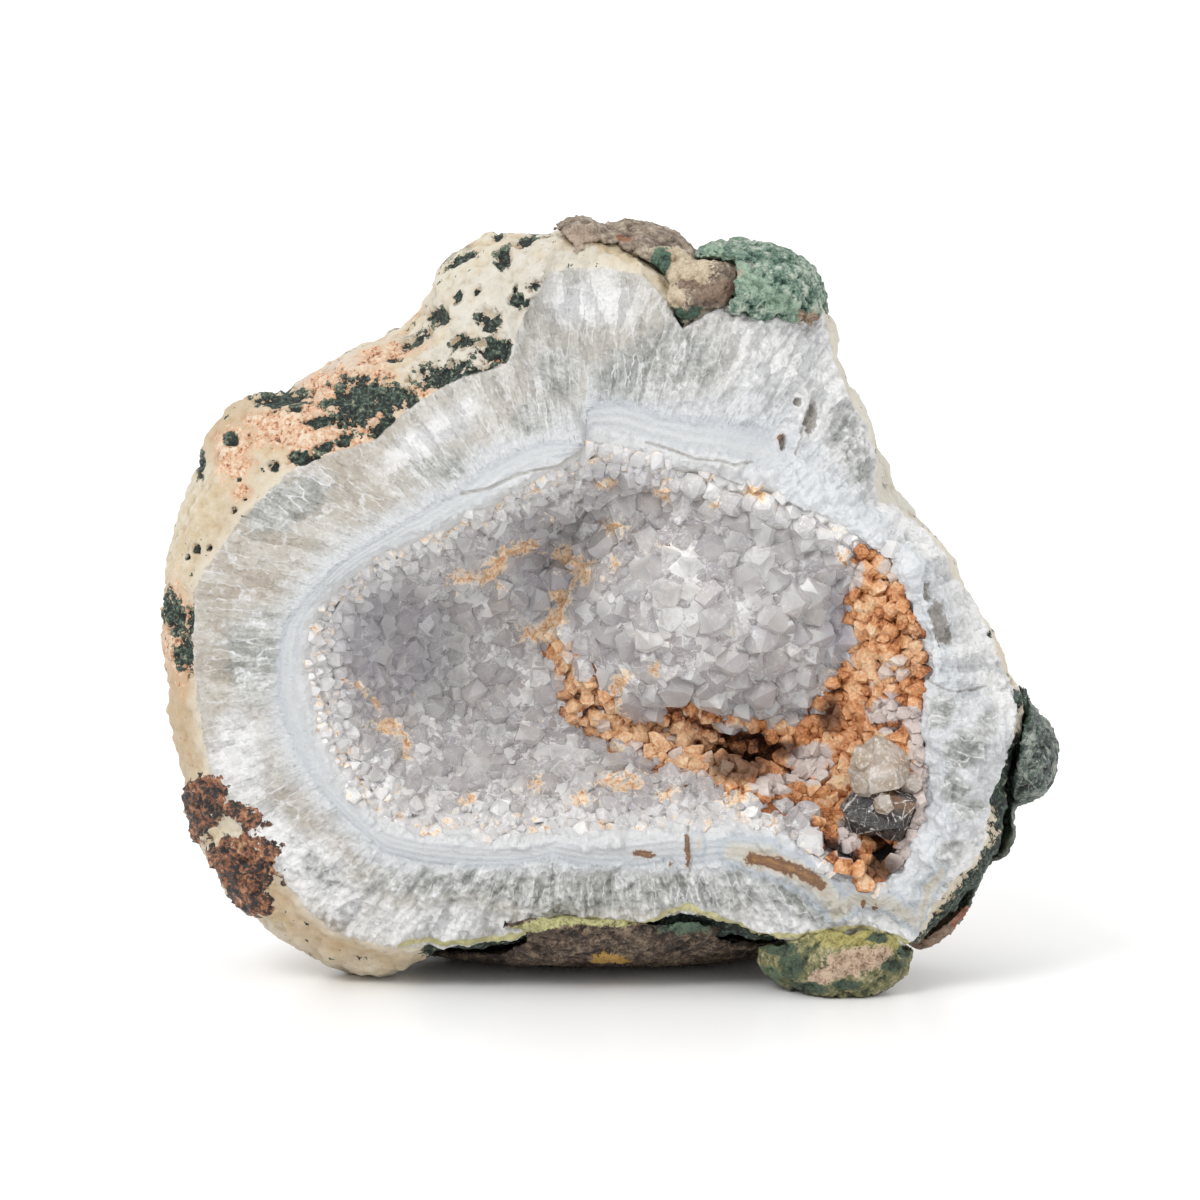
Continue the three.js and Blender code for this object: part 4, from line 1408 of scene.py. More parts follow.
def gathered(solids: Sequence[Solid]) -> Solid:
    """Puts several solids into one list of points and one of faces.

    Args:
        solids: The solids.

    Returns:
        All their points and faces.
    """
    points, faces, start = [], [], 0
    for corners, sides in solids:
        points.append(corners)
        faces += [[corner + start for corner in side] for side in sides]
        start += len(corners)
    return np.vstack(points), faces


def is_whole(solid: Solid) -> bool:
    """Whether a solid is closed: each edge has one face on either side, and no point is left over.

    Args:
        solid: Its points and faces.

    Returns:
        True if it is.
    """
    points, faces = solid
    edges = {edge for face in faces for edge in zip(face, face[1:] + face[:1], strict=True)}
    sound = len(edges) == sum(map(len, faces)) and all((far, near) in edges for near, far in edges)
    return sound and len(points) - len(edges) // 2 + len(faces) == 2


def worn(
    normals: np.ndarray, offsets: np.ndarray, edges: np.ndarray, wear: float
) -> tuple[np.ndarray, np.ndarray]:
    """Planes with others between them that take a little off the solid's edges.

    Args:
        normals: The planes' directions outwards.
        offsets: How far each plane is from the middle.
        edges: The numbers of the two planes at each edge to take off.
        wear: How much comes off.

    Returns:
        The directions and offsets of all the planes.
    """
    near, far = edges.T
    between = normals[near] + normals[far]
    length = np.linalg.norm(between, axis=1)
    added = (offsets[near] + offsets[far]) / length - wear
    return np.vstack([normals, between / length[:, None]]), np.append(offsets, added)


QUARTZ_SLOPE = math.radians(38.2)  # between the faces of a quartz point and its length
QUARTZ_WEAR = 0.012  # how much is off its edges, as a share of its radius
GRAIN_PLANES = 12


def quartz_point(chance: np.random.Generator, length: float, root: float) -> Solid:
    """A six-sided quartz crystal with a pointed end and uneven faces, about 1 mm in radius.

    Args:
        chance: The source of its unevenness.
        length: How far its tip is above the place where it stands, in mm.
        root: How far it goes below that place, in mm.

    Returns:
        Its points and faces, standing along +Z.
    """
    side = np.arange(6)
    around = np.radians(side * 60.0)
    sides = np.c_[np.cos(around), np.sin(around), np.zeros(6)]
    tips = sides * math.cos(QUARTZ_SLOPE) + UP * math.sin(QUARTZ_SLOPE)
    widths = chance.uniform(0.82, 1.12, 6)
    drops = chance.uniform(0.0, 0.3, 6) + np.tile(chance.permutation([0.0, 0.22]), 3)
    reach = math.sin(QUARTZ_SLOPE) * (length - drops)
    normals = np.vstack([sides, tips, -UP])
    following = (side + 1) % 6
    edges = np.vstack([np.c_[side, following], np.c_[side + 6, following + 6], np.c_[side, side + 6]])
    return cut_solid(*worn(normals, np.concatenate([widths, reach, [root]]), edges, QUARTZ_WEAR))


def blocky_grain(chance: np.random.Generator) -> Solid:
    """A blocky grain about 1 mm in radius, cut by uneven planes spread evenly round it.

    Args:
        chance: The source of its unevenness.

    Returns:
        Its points and faces.
    """
    turn = np.arange(GRAIN_PLANES) * (math.pi * (3 - math.sqrt(5)))
    up = 1 - (np.arange(GRAIN_PLANES) + 0.5) * 2 / GRAIN_PLANES
    flat = np.sqrt(1 - up * up)
    spread = np.c_[flat * np.cos(turn), flat * np.sin(turn), up]
    normals = unit(spread + chance.normal(0, 0.22, (GRAIN_PLANES, 3)))
    return cut_solid(normals, chance.uniform(0.72, 1.0, GRAIN_PLANES))


@dataclass
class Hollow:
    """The inside of the geode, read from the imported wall."""

    node: str = "geode_wall"
    start: float = -60.0  # y in front of everything
    rings: int = 26
    columns: int = 84
    last_ring: float = 0.985  # of the way from the heart to the rim
    tapers: tuple[float, float] = (0.97, 0.91)  # where a sheet ends tapering to the rim, and where it starts
    rim_thickness: float = 0.2  # mm

    def __post_init__(self) -> None:
        """Reads the wall's faces."""
        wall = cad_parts[self.node].data
        self.tree = BVHTree.FromPolygons(points_of(wall).tolist(), triangles_of(wall).tolist())

    def read(self, x: np.ndarray, z: np.ndarray) -> tuple[Points, np.ndarray]:
        """The hollow's surface behind places on the front.

        Args:
            x: Places along x in mm.
            z: Heights in mm.

        Returns:
            The surface's points there and its directions outwards.
        """
        forth = Vector((0, 1, 0))
        places, facing = np.c_[x, x * 0, z], np.tile(TOWARDS_FRONT, (len(x), 1))
        for number, (a, b) in enumerate(zip(x, z, strict=True)):
            place, normal = self.tree.ray_cast(Vector((a, self.start, b)), forth)[:2]
            if place:
                places[number], facing[number] = place, normal
        facing *= np.where(facing[:, 1:2] > 0, -1, 1)
        return places, facing

    def bed(self, back: float, front: float) -> Solid:
        """A closed sheet that follows the hollow.

        Args:
            back: How far its back is from the wall in mm.
            front: How far its front is from the wall in mm.

        Returns:
            Its points and faces.
        """
        rings, columns = self.rings, self.columns
        angles = np.linspace(-math.pi, math.pi, columns, endpoint=False)
        rim = RIM.radius(angles)
        shares = (np.arange(rings) + 1) / rings * self.last_ring
        x = HEART[0] + np.outer(shares, rim * np.cos(angles)).ravel()
        z = HEART[1] + np.outer(shares, rim * np.sin(angles)).ravel()
        places, _ = self.read(np.append(x, HEART[0]), np.append(z, HEART[1]))
        sheet = []
        for ring, column in itertools.product(range(rings - 1), range(columns)):
            near, far = ring * columns, (ring + 1) * columns
            following = (column + 1) % columns
            sheet.append([far + following, far + column, near + column, near + following])
        heart = rings * columns
        sheet += [[(column + 1) % columns, column, heart] for column in range(columns)]
        pattern = new_object("bed_pattern", places, sheet)
        even = relaxed(pattern.data, places, 2)
        move_points(pattern.data, even)
        out = normals_of(pattern.data)
        remove(pattern)
        out *= np.where((out * TOWARDS_FRONT).sum(1, keepdims=True) < 0, -1, 1)
        size = len(places)
        faces = [face[::-1] for face in sheet] + [[corner + size for corner in face] for face in sheet]
        for column in range(columns):
            one, other = heart - columns + column, heart - columns + (column + 1) % columns
            faces.append([other, one, one + size, other + size])
        thin = back + self.rim_thickness
        rise = thin + (front - thin) * ease(np.append(np.repeat(shares, columns), 0), *self.tapers)
        return np.vstack([even + out * rise[:, None], even + out * back]), faces


def inside(outline: Sequence[tuple[float, float]], x: np.ndarray, z: np.ndarray) -> np.ndarray:
    """Whether places are inside a closed outline.

    Args:
        outline: The outline's (x, z) points.
        x: Places along x.
        z: Heights.

    Returns:
        True for each place inside.
    """
    found = np.zeros(len(x), bool)
    for (x0, z0), (x1, z1) in zip(outline, (*outline[1:], outline[0]), strict=True):
        crosses = (z0 > z) != (z1 > z)
        found ^= crosses & (x < (x1 - x0) * (z - z0) / ((z1 - z0) or 1e-9) + x0)
    return found


class Stand(NamedTuple):
    """Where one crystal stands and how large it is, in mm."""

    place: Sequence[float]
    direction: Sequence[float]
    radius: float
    length: float  # from its place to its tip
    root: float = 1.6  # from its place down


def packed_places(places: Points, radii: np.ndarray, closeness: float) -> list[int]:
    """Chooses places, in their order, so that crystals standing there crowd each other but don't coincide.

    Args:
        places: The places in mm.
        radii: The crystal's radius at each place in mm.
        closeness: The least distance between two crystals, as a share of their radii's sum.

    Returns:
        The numbers of the places chosen.
    """
    step = float(radii.max()) * 2 * closeness
    taken: dict[tuple[int, ...], list[int]] = {}
    chosen = []
    for number, (place, radius) in enumerate(zip(places, radii, strict=True)):
        cell = tuple(int(part) for part in np.floor(place / step))
        near = [
            other
            for shift in itertools.product((-1, 0, 1), repeat=3)
            for other in taken.get((cell[0] + shift[0], cell[1] + shift[1], cell[2] + shift[2]), ())
        ]
        if near:
            away = np.linalg.norm(places[near] - place, axis=1)
            if (away < closeness * (radii[near] + radius)).any():
                continue
        taken.setdefault(cell, []).append(number)
        chosen.append(number)
    return chosen


def apart(centres: Points, reaches: np.ndarray) -> list[list[int]]:
    """Sorts solids into groups whose members don't touch each other.

    Args:
        centres: The solids' middles in mm.
        reaches: The solids' radii in mm.

    Returns:
        The solids' numbers, group by group.
    """
    groups: list[list[int]] = []
    for number, (centre, reach) in enumerate(zip(centres, reaches, strict=True)):
        for group in groups:
            away = np.linalg.norm(centres[group] - centre, axis=1)
            if (away > reaches[group] + reach).all():
                group.append(number)
                break
        else:
            groups.append([number])
    return groups


def standing(solid: Solid, stand: Stand, spin: float) -> Solid:
    """A crystal put where it stands.

    Args:
        solid: The crystal along +Z, about 1 mm in radius.
        stand: Where it stands.
        spin: Its turn about its own length, in radians.

    Returns:
        The crystal in place.
    """
    forth = unit(stand.direction)
    side = unit(np.cross(forth, UP if abs(forth[2]) < 0.9 else np.array([1.0, 0.0, 0.0])))
    other = np.cross(forth, side)
    across = math.cos(spin) * side + math.sin(spin) * other
    axes = np.array([across, np.cross(forth, across), forth])
    points, faces = solid
    return stand.place + (points * stand.radius) @ axes, faces


@dataclass
class Crust(Piece):
    """Crystals grown together on a bed, as one closed mesh."""

    hollow: Hollow
    seed: int
    bed_back: float = 0.5  # mm from the wall
    bed_front: float = 2.3
    most_spin: float = math.pi / 3  # how far a crystal may be turned about its length
    tries: int = 60000  # how many places are tried
    part: Joining = Joining.UNION  # what the bed becomes where it meets the stained patch
    marks: Mapping[str, Marks] = field(default_factory=dict)

    def __post_init__(self) -> None:
        """Starts the crust's own draws."""
        self.chance = np.random.default_rng(self.seed)
        self.grain = Grain(self.seed)

    def build(self) -> Object:
        """Makes and dresses the crust.

        Returns:
            The crust's object.
        """
        crust = self._bed()
        solids = self._crystals(self._stands())
        self._join(crust, solids)
        self._keep_crystals(crust, solids)
        keep_value(crust.data, "stage", Growth.at(points_of(crust.data)).stage)
        return self._finished(crust)

    def _stands(self) -> Iterable[Stand]:
        """Where the crystals stand."""
        return ()

    def _crystal(self, stand: Stand) -> Solid:
        """The crystal for a place, along +Z and about 1 mm in radius."""
        return quartz_point(self.chance, stand.length / stand.radius, stand.root / stand.radius)

    def _crystals(self, stands: Iterable[Stand]) -> list[Solid]:
        """Makes crystals and leaves out any that isn't whole.

        Args:
            stands: Where they stand.

        Returns:
            The crystals in place.
        """
        solids = []
        for stand in stands:
            solid = self._crystal(stand)
            if is_whole(solid):
                solids.append(standing(solid, stand, self.chance.uniform(0, self.most_spin)))
        log.info("%s: %d crystals", self.name, len(solids))
        return solids

    def _bed(self) -> Object:
        """Makes the bed under these crystals: the hollow's part inside or outside the stained patch.

        Returns:
            The bed.
        """
        bed = new_object(self.name, *self.hollow.bed(self.bed_back, self.bed_front))
        ring = np.array(OCHRE_EDGE)
        count = len(ring)
        near, far = (np.insert(ring, 1, depth, axis=1) for depth in (-70.0, 40.0))
        sides = [[c, (c + 1) % count, (c + 1) % count + count, c + count] for c in range(count)]
        ends = [list(range(count))[::-1], list(range(count, 2 * count))]
        knife = new_object("patch_prism", np.vstack([near, far]), sides + ends)
        self._combine(bed, [knife], self.part)
        return bed

    @staticmethod
    def _combine(base: Object, others: Sequence[Object], joining: Joining) -> None:
        """Joins, cuts or keeps what is common to a base and other solids, then takes the others away.

        Args:
            base: The solid that stays.
            others: The other solids.
            joining: Which of the three.
        """
        for other in others:
            modifier = base.modifiers.new(other.name, "BOOLEAN")
            modifier.solver = "MANIFOLD"
            modifier.operation = joining.value
            modifier.object = other
        settle(base)
        for other in others:
            remove(other)

    def _join(self, base: Object, solids: Sequence[Solid]) -> None:
        """Grows solids into the base.

        Args:
            base: The object that the solids join.
            solids: The solids.
        """
        centres = np.array([points.mean(0) for points, _ in solids])
        reaches = np.array([np.linalg.norm(points - points.mean(0), axis=1).max() for points, _ in solids])
        groups = [
            new_object(f"group_{number}", *gathered([solids[member] for member in group]))
            for number, group in enumerate(apart(centres, reaches))
        ]
        self._combine(base, groups, Joining.UNION)

    @staticmethod
    def _slender(corners: Points) -> float:
        """How slender a flat face is.

        Args:
            corners: Its corners in order.

        Returns:
            0 for a broad face, up to 1 for a strip.
        """
        sides = np.roll(corners, -1, axis=0) - corners
        area = np.linalg.norm(np.cross(corners, np.roll(corners, -1, axis=0)).sum(0)) / 2
        roundness = 4 * math.pi * area / max(np.linalg.norm(sides, axis=1).sum() ** 2, 1e-9)
        return float(np.clip((0.5 - roundness) / 0.15, 0.0, 1.0))

    def _keep_crystals(self, crust: Object, solids: Sequence[Solid]) -> np.ndarray:
        """Stores which crystal each face belongs to, as a tone, and how far each point is from the wall.

        Args:
            crust: The finished crust.
            solids: The crystals in it.

        Returns:
            The number of each face's crystal.
        """
        mesh = crust.data
        points, faces = gathered(solids)
        owner = np.repeat(np.arange(len(solids)), [len(sides) for _, sides in solids])
        tree = BVHTree.FromPolygons(points.tolist(), faces)
        tones = self.chance.uniform(0, 1, len(solids))
        # a random number for each face, which the quartz finish uses, among other things, for painted glints
        # and painted shade
        facets = self.chance.uniform(0, 1, len(owner))
        # how slender each face is: the thin faces along the crystals' edges, which the finishes make paler as
        # painted highlights
        edges = np.array([self._slender(points[face]) for face in faces])
        found = [tree.find_nearest(Vector(centre))[2] for centre in centres_of(mesh).tolist()]
        keep_value(mesh, "tone", tones[owner[found]], Domain.FACE)
        keep_value(mesh, "facet", facets[found], Domain.FACE)
        keep_value(mesh, "edge", edges[found], Domain.FACE)
        # how far each point is from the wall, which the finishes use, among other things, for painted shade
        # low between the crystals
        rise = [self.hollow.tree.find_nearest(Vector(corner))[3] for corner in points_of(mesh).tolist()]
        keep_value(mesh, "rise", np.array(rise))
        return owner[found]

    def _finished(self, crust: Object) -> Object:
        """Marks and dresses the crust.

        Args:
            crust: The crust.

        Returns:
            The crust.
        """
        points = points_of(crust.data)
        for name, marks in self.marks.items():
            keep_value(crust.data, name, marked(marks, points))
        dress(crust, self.finish.material(), Shading.FACETED)
        return self.hand_in(crust)


# Places in the clear crystals, by what they are.
DRUSE_MARKS: dict[str, Marks] = {
    # where iron has stained them
    "stain": (
        *spots(
            (-18, 65.5, 1.0, 1.2), (1, 78.5, 2.4, 1.8), (1, 73, 0.9, 1.5), (-1, 85.5, 2.0, 0.8),
            (8, 84, 1.6, 0.9), (24, 84, 1.4, 0.8), (7.5, 54.5, 0.9, 1.0), (18, 82, 1.6, 0.9),
            (-12, 35.2, 1.8, 1.2), (-5, 33, 2.0, 0.9), (22, 33.5, 2.6, 1.0), (10, 34, 1.6, 1.0),
            (2, 36, 4.2, 1.4), (36.5, 52, 1.3, 2.0), (-37, 45.5, 2.8, 1.0), (-23.5, 33, 1.2, 0.8),
            (38.5, 73, 1.0, 1.6), (-10.5, 80, 1.2, 0.8),
        ),
        Stroke(((-26, 69.5), (-20, 70.5), (-17, 74.5), (-12, 75.5)), 1.1),
        Stroke(((-8, 74), (-5, 71.5), (-2, 70)), 1.6),
        Stroke((
            (-14, 60.5), (-9.5, 59.5), (-7.5, 56), (-6.5, 51.5), (-3, 49.5), (1, 48.5), (3, 45), (1, 41),
        ), 1.3),
        Stroke(((-0.5, 49.5), (2.5, 53)), 1.0), Stroke(((-7, 67), (-10, 62), (-12, 61)), 1.1),
        Stroke(((-9, 71), (-8, 64)), 1.1), Stroke(((12, 44.5), (14, 47), (17, 44)), 1.2),
        Stroke(((-44, 53), (-41, 51.5), (-38, 48)), 0.5),
        Stroke(((-38, 44.5), (-34, 43.5), (-34, 40)), 0.6),
    ),
    # deep places where little light gets in
    "shaded": spots(
        (-11, 72, 7, 13, 12), (-38, 58, 13, 15, 10), (3, 88, 10, 3), (24, 38.5, 9, 4),
        (37.5, 60, 3, 12),
    ),
    # small flecks of dark mineral
    "fleck": spots(
        (22.6, 61.4, 0.45, 0.9, 15), (9.5, 75.5, 0.5, 0.35), (20.4, 78.6, 0.3, 0.3), (31, 66, 0.3, 0.2),
        (12.6, 57, 0.25, 0.25), (26, 49, 0.25, 0.2), (-4, 64.5, 0.3, 0.25), (5, 66.8, 0.25, 0.25),
    ),
}
MOUND: Marks = (Spot(17, 64, 26, 21), Spot(20, 80, 16, 7), Spot(16, 50, 20, 6))


@dataclass(frozen=True)
class QuartzFinish:
    """Clear to milky quartz: glassy points on a cloudy root, stained in places, with painted shade low between
    the points and painted glints and shade on random faces.
    """

    # painted shade: the grey that the crystals take low down between them
    gap_shade: Colour = tint(178, 173, 173)
    body: Colour = tint(226, 222, 222)
    white: Colour = tint(252, 251, 250)
    # painted shade: grey lilac for random darker faces and the deep shaded places
    lilac_shade: Colour = tint(174, 172, 184)
    cream: Colour = tint(232, 206, 172)
    ochre: Colour = tint(196, 138, 84)
    fleck: Colour = tint(96, 44, 24)

    def material(self) -> Material:
        """Builds the crystals' material.

        Returns:
            The material.
        """
        g = Graph.material("clear quartz")
        here = g.place()
        tone, facet, rise, edge = g.value("tone"), g.value("facet"), g.value("rise"), g.value("edge")
        veil = g.noise(here, 1.6, 4, 0.65)
        mist = veil - 0.5
        fine = g.noise(here, 0.5, 2)
        height = g.ease(rise + mist, 2.2, 4.6)
        shaded = g.ease(g.value("shaded") + mist * 0.4, -0.2, 0.6)
        by_rim = g.ease(g.value("stage") + mist * 0.1, 0.82, 1.0)
        threads = g.ease(g.cracks(here, 1.5), 0.05, 0.0) * g.ease(veil, 0.45, 0.6)
        frost = g.ease(g.noise(here, 0.9, 4, 0.7) + (tone - 0.5) * 0.3, 0.5, 0.66)
        body = g.layers(
            # painted shade low between the crystals, rising to the body colour at their tips
            g.mix(height, self.gap_shade, self.body),
            # painted glints and painted shade: random faces made whiter or greyer, standing in for the light
            # they catch or miss
            (g.ease(facet + veil * 0.3, 0.7, 1.1) * 0.75, self.white),
            (g.ease(facet, 0.32, 0.0) * 0.35, self.lilac_shade),
            (g.ease(tone, 0.7, 1.0) * 0.4, self.white),
            (shaded * 0.35, self.lilac_shade),
            (by_rim * 0.6, self.white),
            (threads * 0.55, self.white),
            (frost * (1 - shaded) * 0.7, self.white),
            # painted highlight: the thin faces along the crystals' edges are made whiter
            (edge * g.ease(veil + (tone - 0.5) * 0.3, 0.35, 0.6) * (1 - shaded * 0.5) * 0.1, self.white),
        )
        ragged = g.noise(here, 0.9, 4, 0.7) + g.noise(here, 3.6, 3, 0.6)
        stain = g.value("stain") + (ragged - 1.0) * 2.6 - g.cracks(here, 2.2) * 1.6
        stain = stain - (rise - 3.2) * 0.3 + (facet - 0.5) * 0.7
        stained = g.mix(g.ease(fine + mist, 0.4, 0.7), self.cream, self.ochre)
        body = g.layers(
            body,
            (g.ease(stain, -0.3, 0.1) * 0.55, self.cream),
            (g.ease(stain, 0.1, 0.45) * 0.85, stained),
            (g.ease(g.value("fleck") + (fine - 0.5) * 0.3, -0.05, 0.1), self.fleck),
        )
        normal = g.bump((g.noise(g.place((0.3, 1.0, 1.0)), 0.45, 2), 0.04), (veil, 0.1))
        cloudy = g.surface(Base_Color=body, Roughness=0.13 + fine * 0.12, Normal=normal, IOR=1.544)
        glassy = g.surface(
            Base_Color=(0.985, 0.98, 0.99), Roughness=0.05, Normal=normal, IOR=1.544, Transmission_Weight=1.0
        )
        clarity = (0.25 + height * 0.25 + facet * 0.15) * (1 - g.ease(stain, -0.3, 0.2) * 0.8)
        return g.finish(g.blend(clarity, cloudy, glassy))


@dataclass
class Druse(Crust):
    """The clear quartz that lines the hollow."""

    part: Joining = Joining.DIFFERENCE
    marks: Mapping[str, Marks] = field(default_factory=lambda: DRUSE_MARKS)
    closeness: float = 0.54  # the least distance between two crystals, as a share of their radii's sum
    reach: float = 1.06  # how far out crystals stand, as a share of the rim's radius
    radii: tuple[float, float] = (1.0, 2.7)  # mm, of the smallest and the largest
    mound_radii: tuple[float, float] = (1.2, 3.3)
    lean: float = 0.27  # how unevenly they lean
    lengths: tuple[float, float] = (0.85, 1.45)  # in radii
    large: tuple[tuple[float, float, float], ...] = (  # x, z and radius of the crystals placed one by one
        (6, 75, 3.4), (-45, 62, 2.9), (18, 83, 3.2), (-18, 33, 2.7), (31, 58, 2.8), (13, 52, 2.7),
        (22, 81, 2.4), (33, 44.5, 2.6), (-42, 66, 2.2), (36, 62, 2.6), (26, 82, 2.5), (14, 85.5, 2.5),
        (30.5, 79, 2.4), (-30, 44, 2.6), (-14, 46, 2.4), (9, 60, 2.6), (22, 68, 2.6),
    )
    finish: QuartzFinish = QuartzFinish()

    def _stands(self) -> list[Stand]:
        """Chooses where the crystals stand, the largest first.

        Returns:
            Their stands.
        """
        chance = self.chance
        angle = chance.uniform(-math.pi, math.pi, self.tries)
        share = np.sqrt(chance.uniform(0, self.reach**2, self.tries))
        radius = RIM.radius(angle) * share
        x, z = HEART[0] + radius * np.cos(angle), HEART[1] + radius * np.sin(angle)
        ragged = self.grain.layered(np.c_[x, z, z * 0], 5.0)
        keep = ~inside(OCHRE_EDGE, x, z) & (share < 1.0 + 0.05 * ragged)
        great = np.array(self.large)
        x, z = np.append(great[:, 0], x[keep]), np.append(great[:, 1], z[keep])
        share = np.append(np.zeros(len(great)), share[keep])
        places, facing = self.hollow.read(x, z)
        sizes = self._sizes(places, share)
        sizes[: len(great)] = great[:, 2]
        order = np.argsort(-sizes * chance.uniform(0.6, 1.0, len(sizes)), kind="stable")
        places, facing, sizes, share = places[order], facing[order], sizes[order], share[order]
        out = 0.3 + (self.bed_front - 0.3) * ease(share, 0.99, 0.93)
        stands = []
        for number in packed_places(places, sizes, self.closeness):
            size = sizes[number]
            direction = unit(facing[number] + 0.5 * TOWARDS_FRONT + chance.normal(0, self.lean, 3))
            place = places[number] + facing[number] * out[number]
            stands.append(Stand(place, direction, size, size * chance.uniform(*self.lengths)))
        return stands

    def _sizes(self, places: Points, share: np.ndarray) -> np.ndarray:
        """The radius of the crystal that each place would carry, in mm.

        Args:
            places: Places on the hollow in mm.
            share: How far each is from the heart to the rim.

        Returns:
            The radii.
        """
        draw = self.chance.uniform(0, 1, len(places)) ** 2.2
        on_mound = marked(MOUND, places) > 0
        least, most = (np.where(on_mound, *pair) for pair in zip(self.mound_radii, self.radii, strict=True))
        return (least + (most - least) * draw) * (1 - 0.42 * ease(share, 0.86, 0.98))


@dataclass(frozen=True)
class OchreFinish:
    """Quartz grains coated with iron, from cream through ochre to deep brown, darker low between the grains as
    painted shade and paler on their tops as painted light.
    """

    cream: Colour = tint(232, 206, 170)
    peach: Colour = tint(222, 168, 122)
    ochre: Colour = tint(196, 130, 78)
    brown: Colour = tint(146, 84, 44)
    # also the colour of the painted shade low between the grains and in the holes
    deep: Colour = tint(66, 36, 20)
    glaze: Colour = tint(208, 203, 202)

    def material(self) -> Material:
        """Builds the stained grains' material.

        Returns:
            The material.
        """
        g = Graph.material("ochre quartz")
        here = g.place()
        tone, rise, pale = g.value("tone"), g.value("rise"), g.value("pale")
        fine = g.noise(here, 0.5, 4, 0.7)
        wide = g.noise(here, 4.0, 3, 0.6)
        # near the rim the grains count as higher, so they get less of the painted shade
        rise += g.ease(g.value("stage"), 0.9, 0.98) * 2.2
        grit = fine - 0.5
        # painted shade and light: grains darker low down between them and paler on their tops
        height = g.ease(rise + grit * 1.6, 1.8, 4.6)
        colour = g.ramp(
            height * 0.42 + tone * 0.24 + (wide - 0.5) * 0.7 + grit * 0.7 + 0.1,
            (0.1, self.deep), (0.26, self.brown), (0.44, self.ochre), (0.64, self.peach), (0.85, self.cream),
        )
        paler = g.mix(g.ease(fine, 0.35, 0.65), self.peach, self.cream)
        glazed = g.value("glaze") + (wide - 0.5) * 0.8 + (tone - 0.5) * 0.6
        colour = g.layers(
            colour,
            # cream lumps, paler on their tops as painted light
            (g.ease(pale + (wide - 0.5) * 1.2, -0.4, 0.2) * height * 0.95, paler),
            (g.ease(glazed, -0.1, 0.1) * 0.8, self.glaze),
            (g.ease(tone, 0.78, 0.82) * g.ease(pale + (wide - 0.5), -0.4, 0.0) * 0.7, self.glaze),
            # painted shade: the deepest holes are made deep brown
            (g.ease(g.value("hole_shade") + (wide - 0.5) * 0.3, -0.1, 0.5) * 0.8, self.deep),
        )
        sugar, _ = g.grains(here, 0.5)
        normal = g.bump((fine, 0.35), (sugar, 0.5))
        return g.finish(g.surface(Base_Color=colour, Roughness=0.34 + fine * 0.3, Normal=normal, IOR=1.544))


# Places in the ochre crust, by what they are.
OCHRE_MARKS: dict[str, Marks] = {
    # cream lumps
    "pale": spots(
        (2, 38, 11, 3.6), (13, 43.5, 8, 2.4), (-6, 51, 3.6, 7), (0, 43, 7, 5), (45, 54.5, 3.6, 2.6),
        (10, 37.5, 6, 3), (50, 58, 1.6, 4), (46.5, 71, 2, 2),
    ),
    # grey quartz without a coat
    "glaze": (
        *spots(
            (33, 39, 3.6, 3.2), (46, 47.5, 3.4, 3), (27, 35.5, 3, 2), (40, 70, 1.6, 3), (39, 26, 2, 3),
        ),
        Stroke(((50, 47), (51.4, 42), (51.4, 34), (50.4, 27), (47.5, 22)), 1.7),
    ),
    # the deepest holes, painted deep brown as shade
    "hole_shade": spots((21.5, 38.5, 6.5, 3.4), (45, 21.6, 4, 2.6), (36.6, 47, 2.4, 4), (29.5, 41, 3, 2)),
}


@dataclass
class OchreCrust(Crust):
    """The iron-stained grains on the right of the hollow and in the seam under the mound."""

    part: Joining = Joining.INTERSECT
    marks: Mapping[str, Marks] = field(default_factory=lambda: OCHRE_MARKS)
    most_spin: float = math.pi
    closeness: float = 0.64  # the least distance between two grains, as a share of their radii's sum
    lumpy: Marks = (Spot(4, 40, 16, 8),)  # where the grains are a little larger
    least: float = 0.42  # mm, the radius of the smallest grains
    finish: OchreFinish = OchreFinish()

    def _crystal(self, stand: Stand) -> Solid:
        """A grain, the same for every stand but for its own unevenness."""
        return blocky_grain(self.chance)

    def _stands(self) -> Iterator[Stand]:
        """Chooses where the grains stand, the largest first.

        Yields:
            Each grain's stand.
        """
        chance = self.chance
        low, high = np.min(OCHRE_EDGE, 0), np.max(OCHRE_EDGE, 0)
        x, z = (chance.uniform(low[n], high[n], self.tries) for n in (0, 1))
        angle = np.arctan2(z - HEART[1], x - HEART[0])
        share = np.hypot(x - HEART[0], z - HEART[1]) / RIM.radius(angle)
        keep = inside(OCHRE_EDGE, x, z) & (share < 1.0)
        places, facing = self.hollow.read(x[keep], z[keep])
        sunk = ease(share[keep], 0.93, 0.99) * (self.bed_front - 0.3)
        larger = 0.2 * ease(marked(self.lumpy, places), -0.1, 0.3)
        sizes = self.least + larger + 0.95 * chance.uniform(0, 1, len(places)) ** 4
        order = np.argsort(-sizes * chance.uniform(0.5, 1.0, len(sizes)), kind="stable")
        places, facing, sizes = places[order], facing[order], sizes[order]
        lift = 0.9 * self.grain.layered(places, 4.0, 2) - sunk[order]
        for number in packed_places(places, sizes, self.closeness):
            size = sizes[number]
            out = self.bed_front + chance.uniform(-0.2, 0.55) * size + 0.2 + lift[number]
            direction = unit(facing[number] + chance.normal(0, 0.6, 3))
            yield Stand(places[number] + facing[number] * out, direction, size * 1.15, size)


# The smoky crystal ----


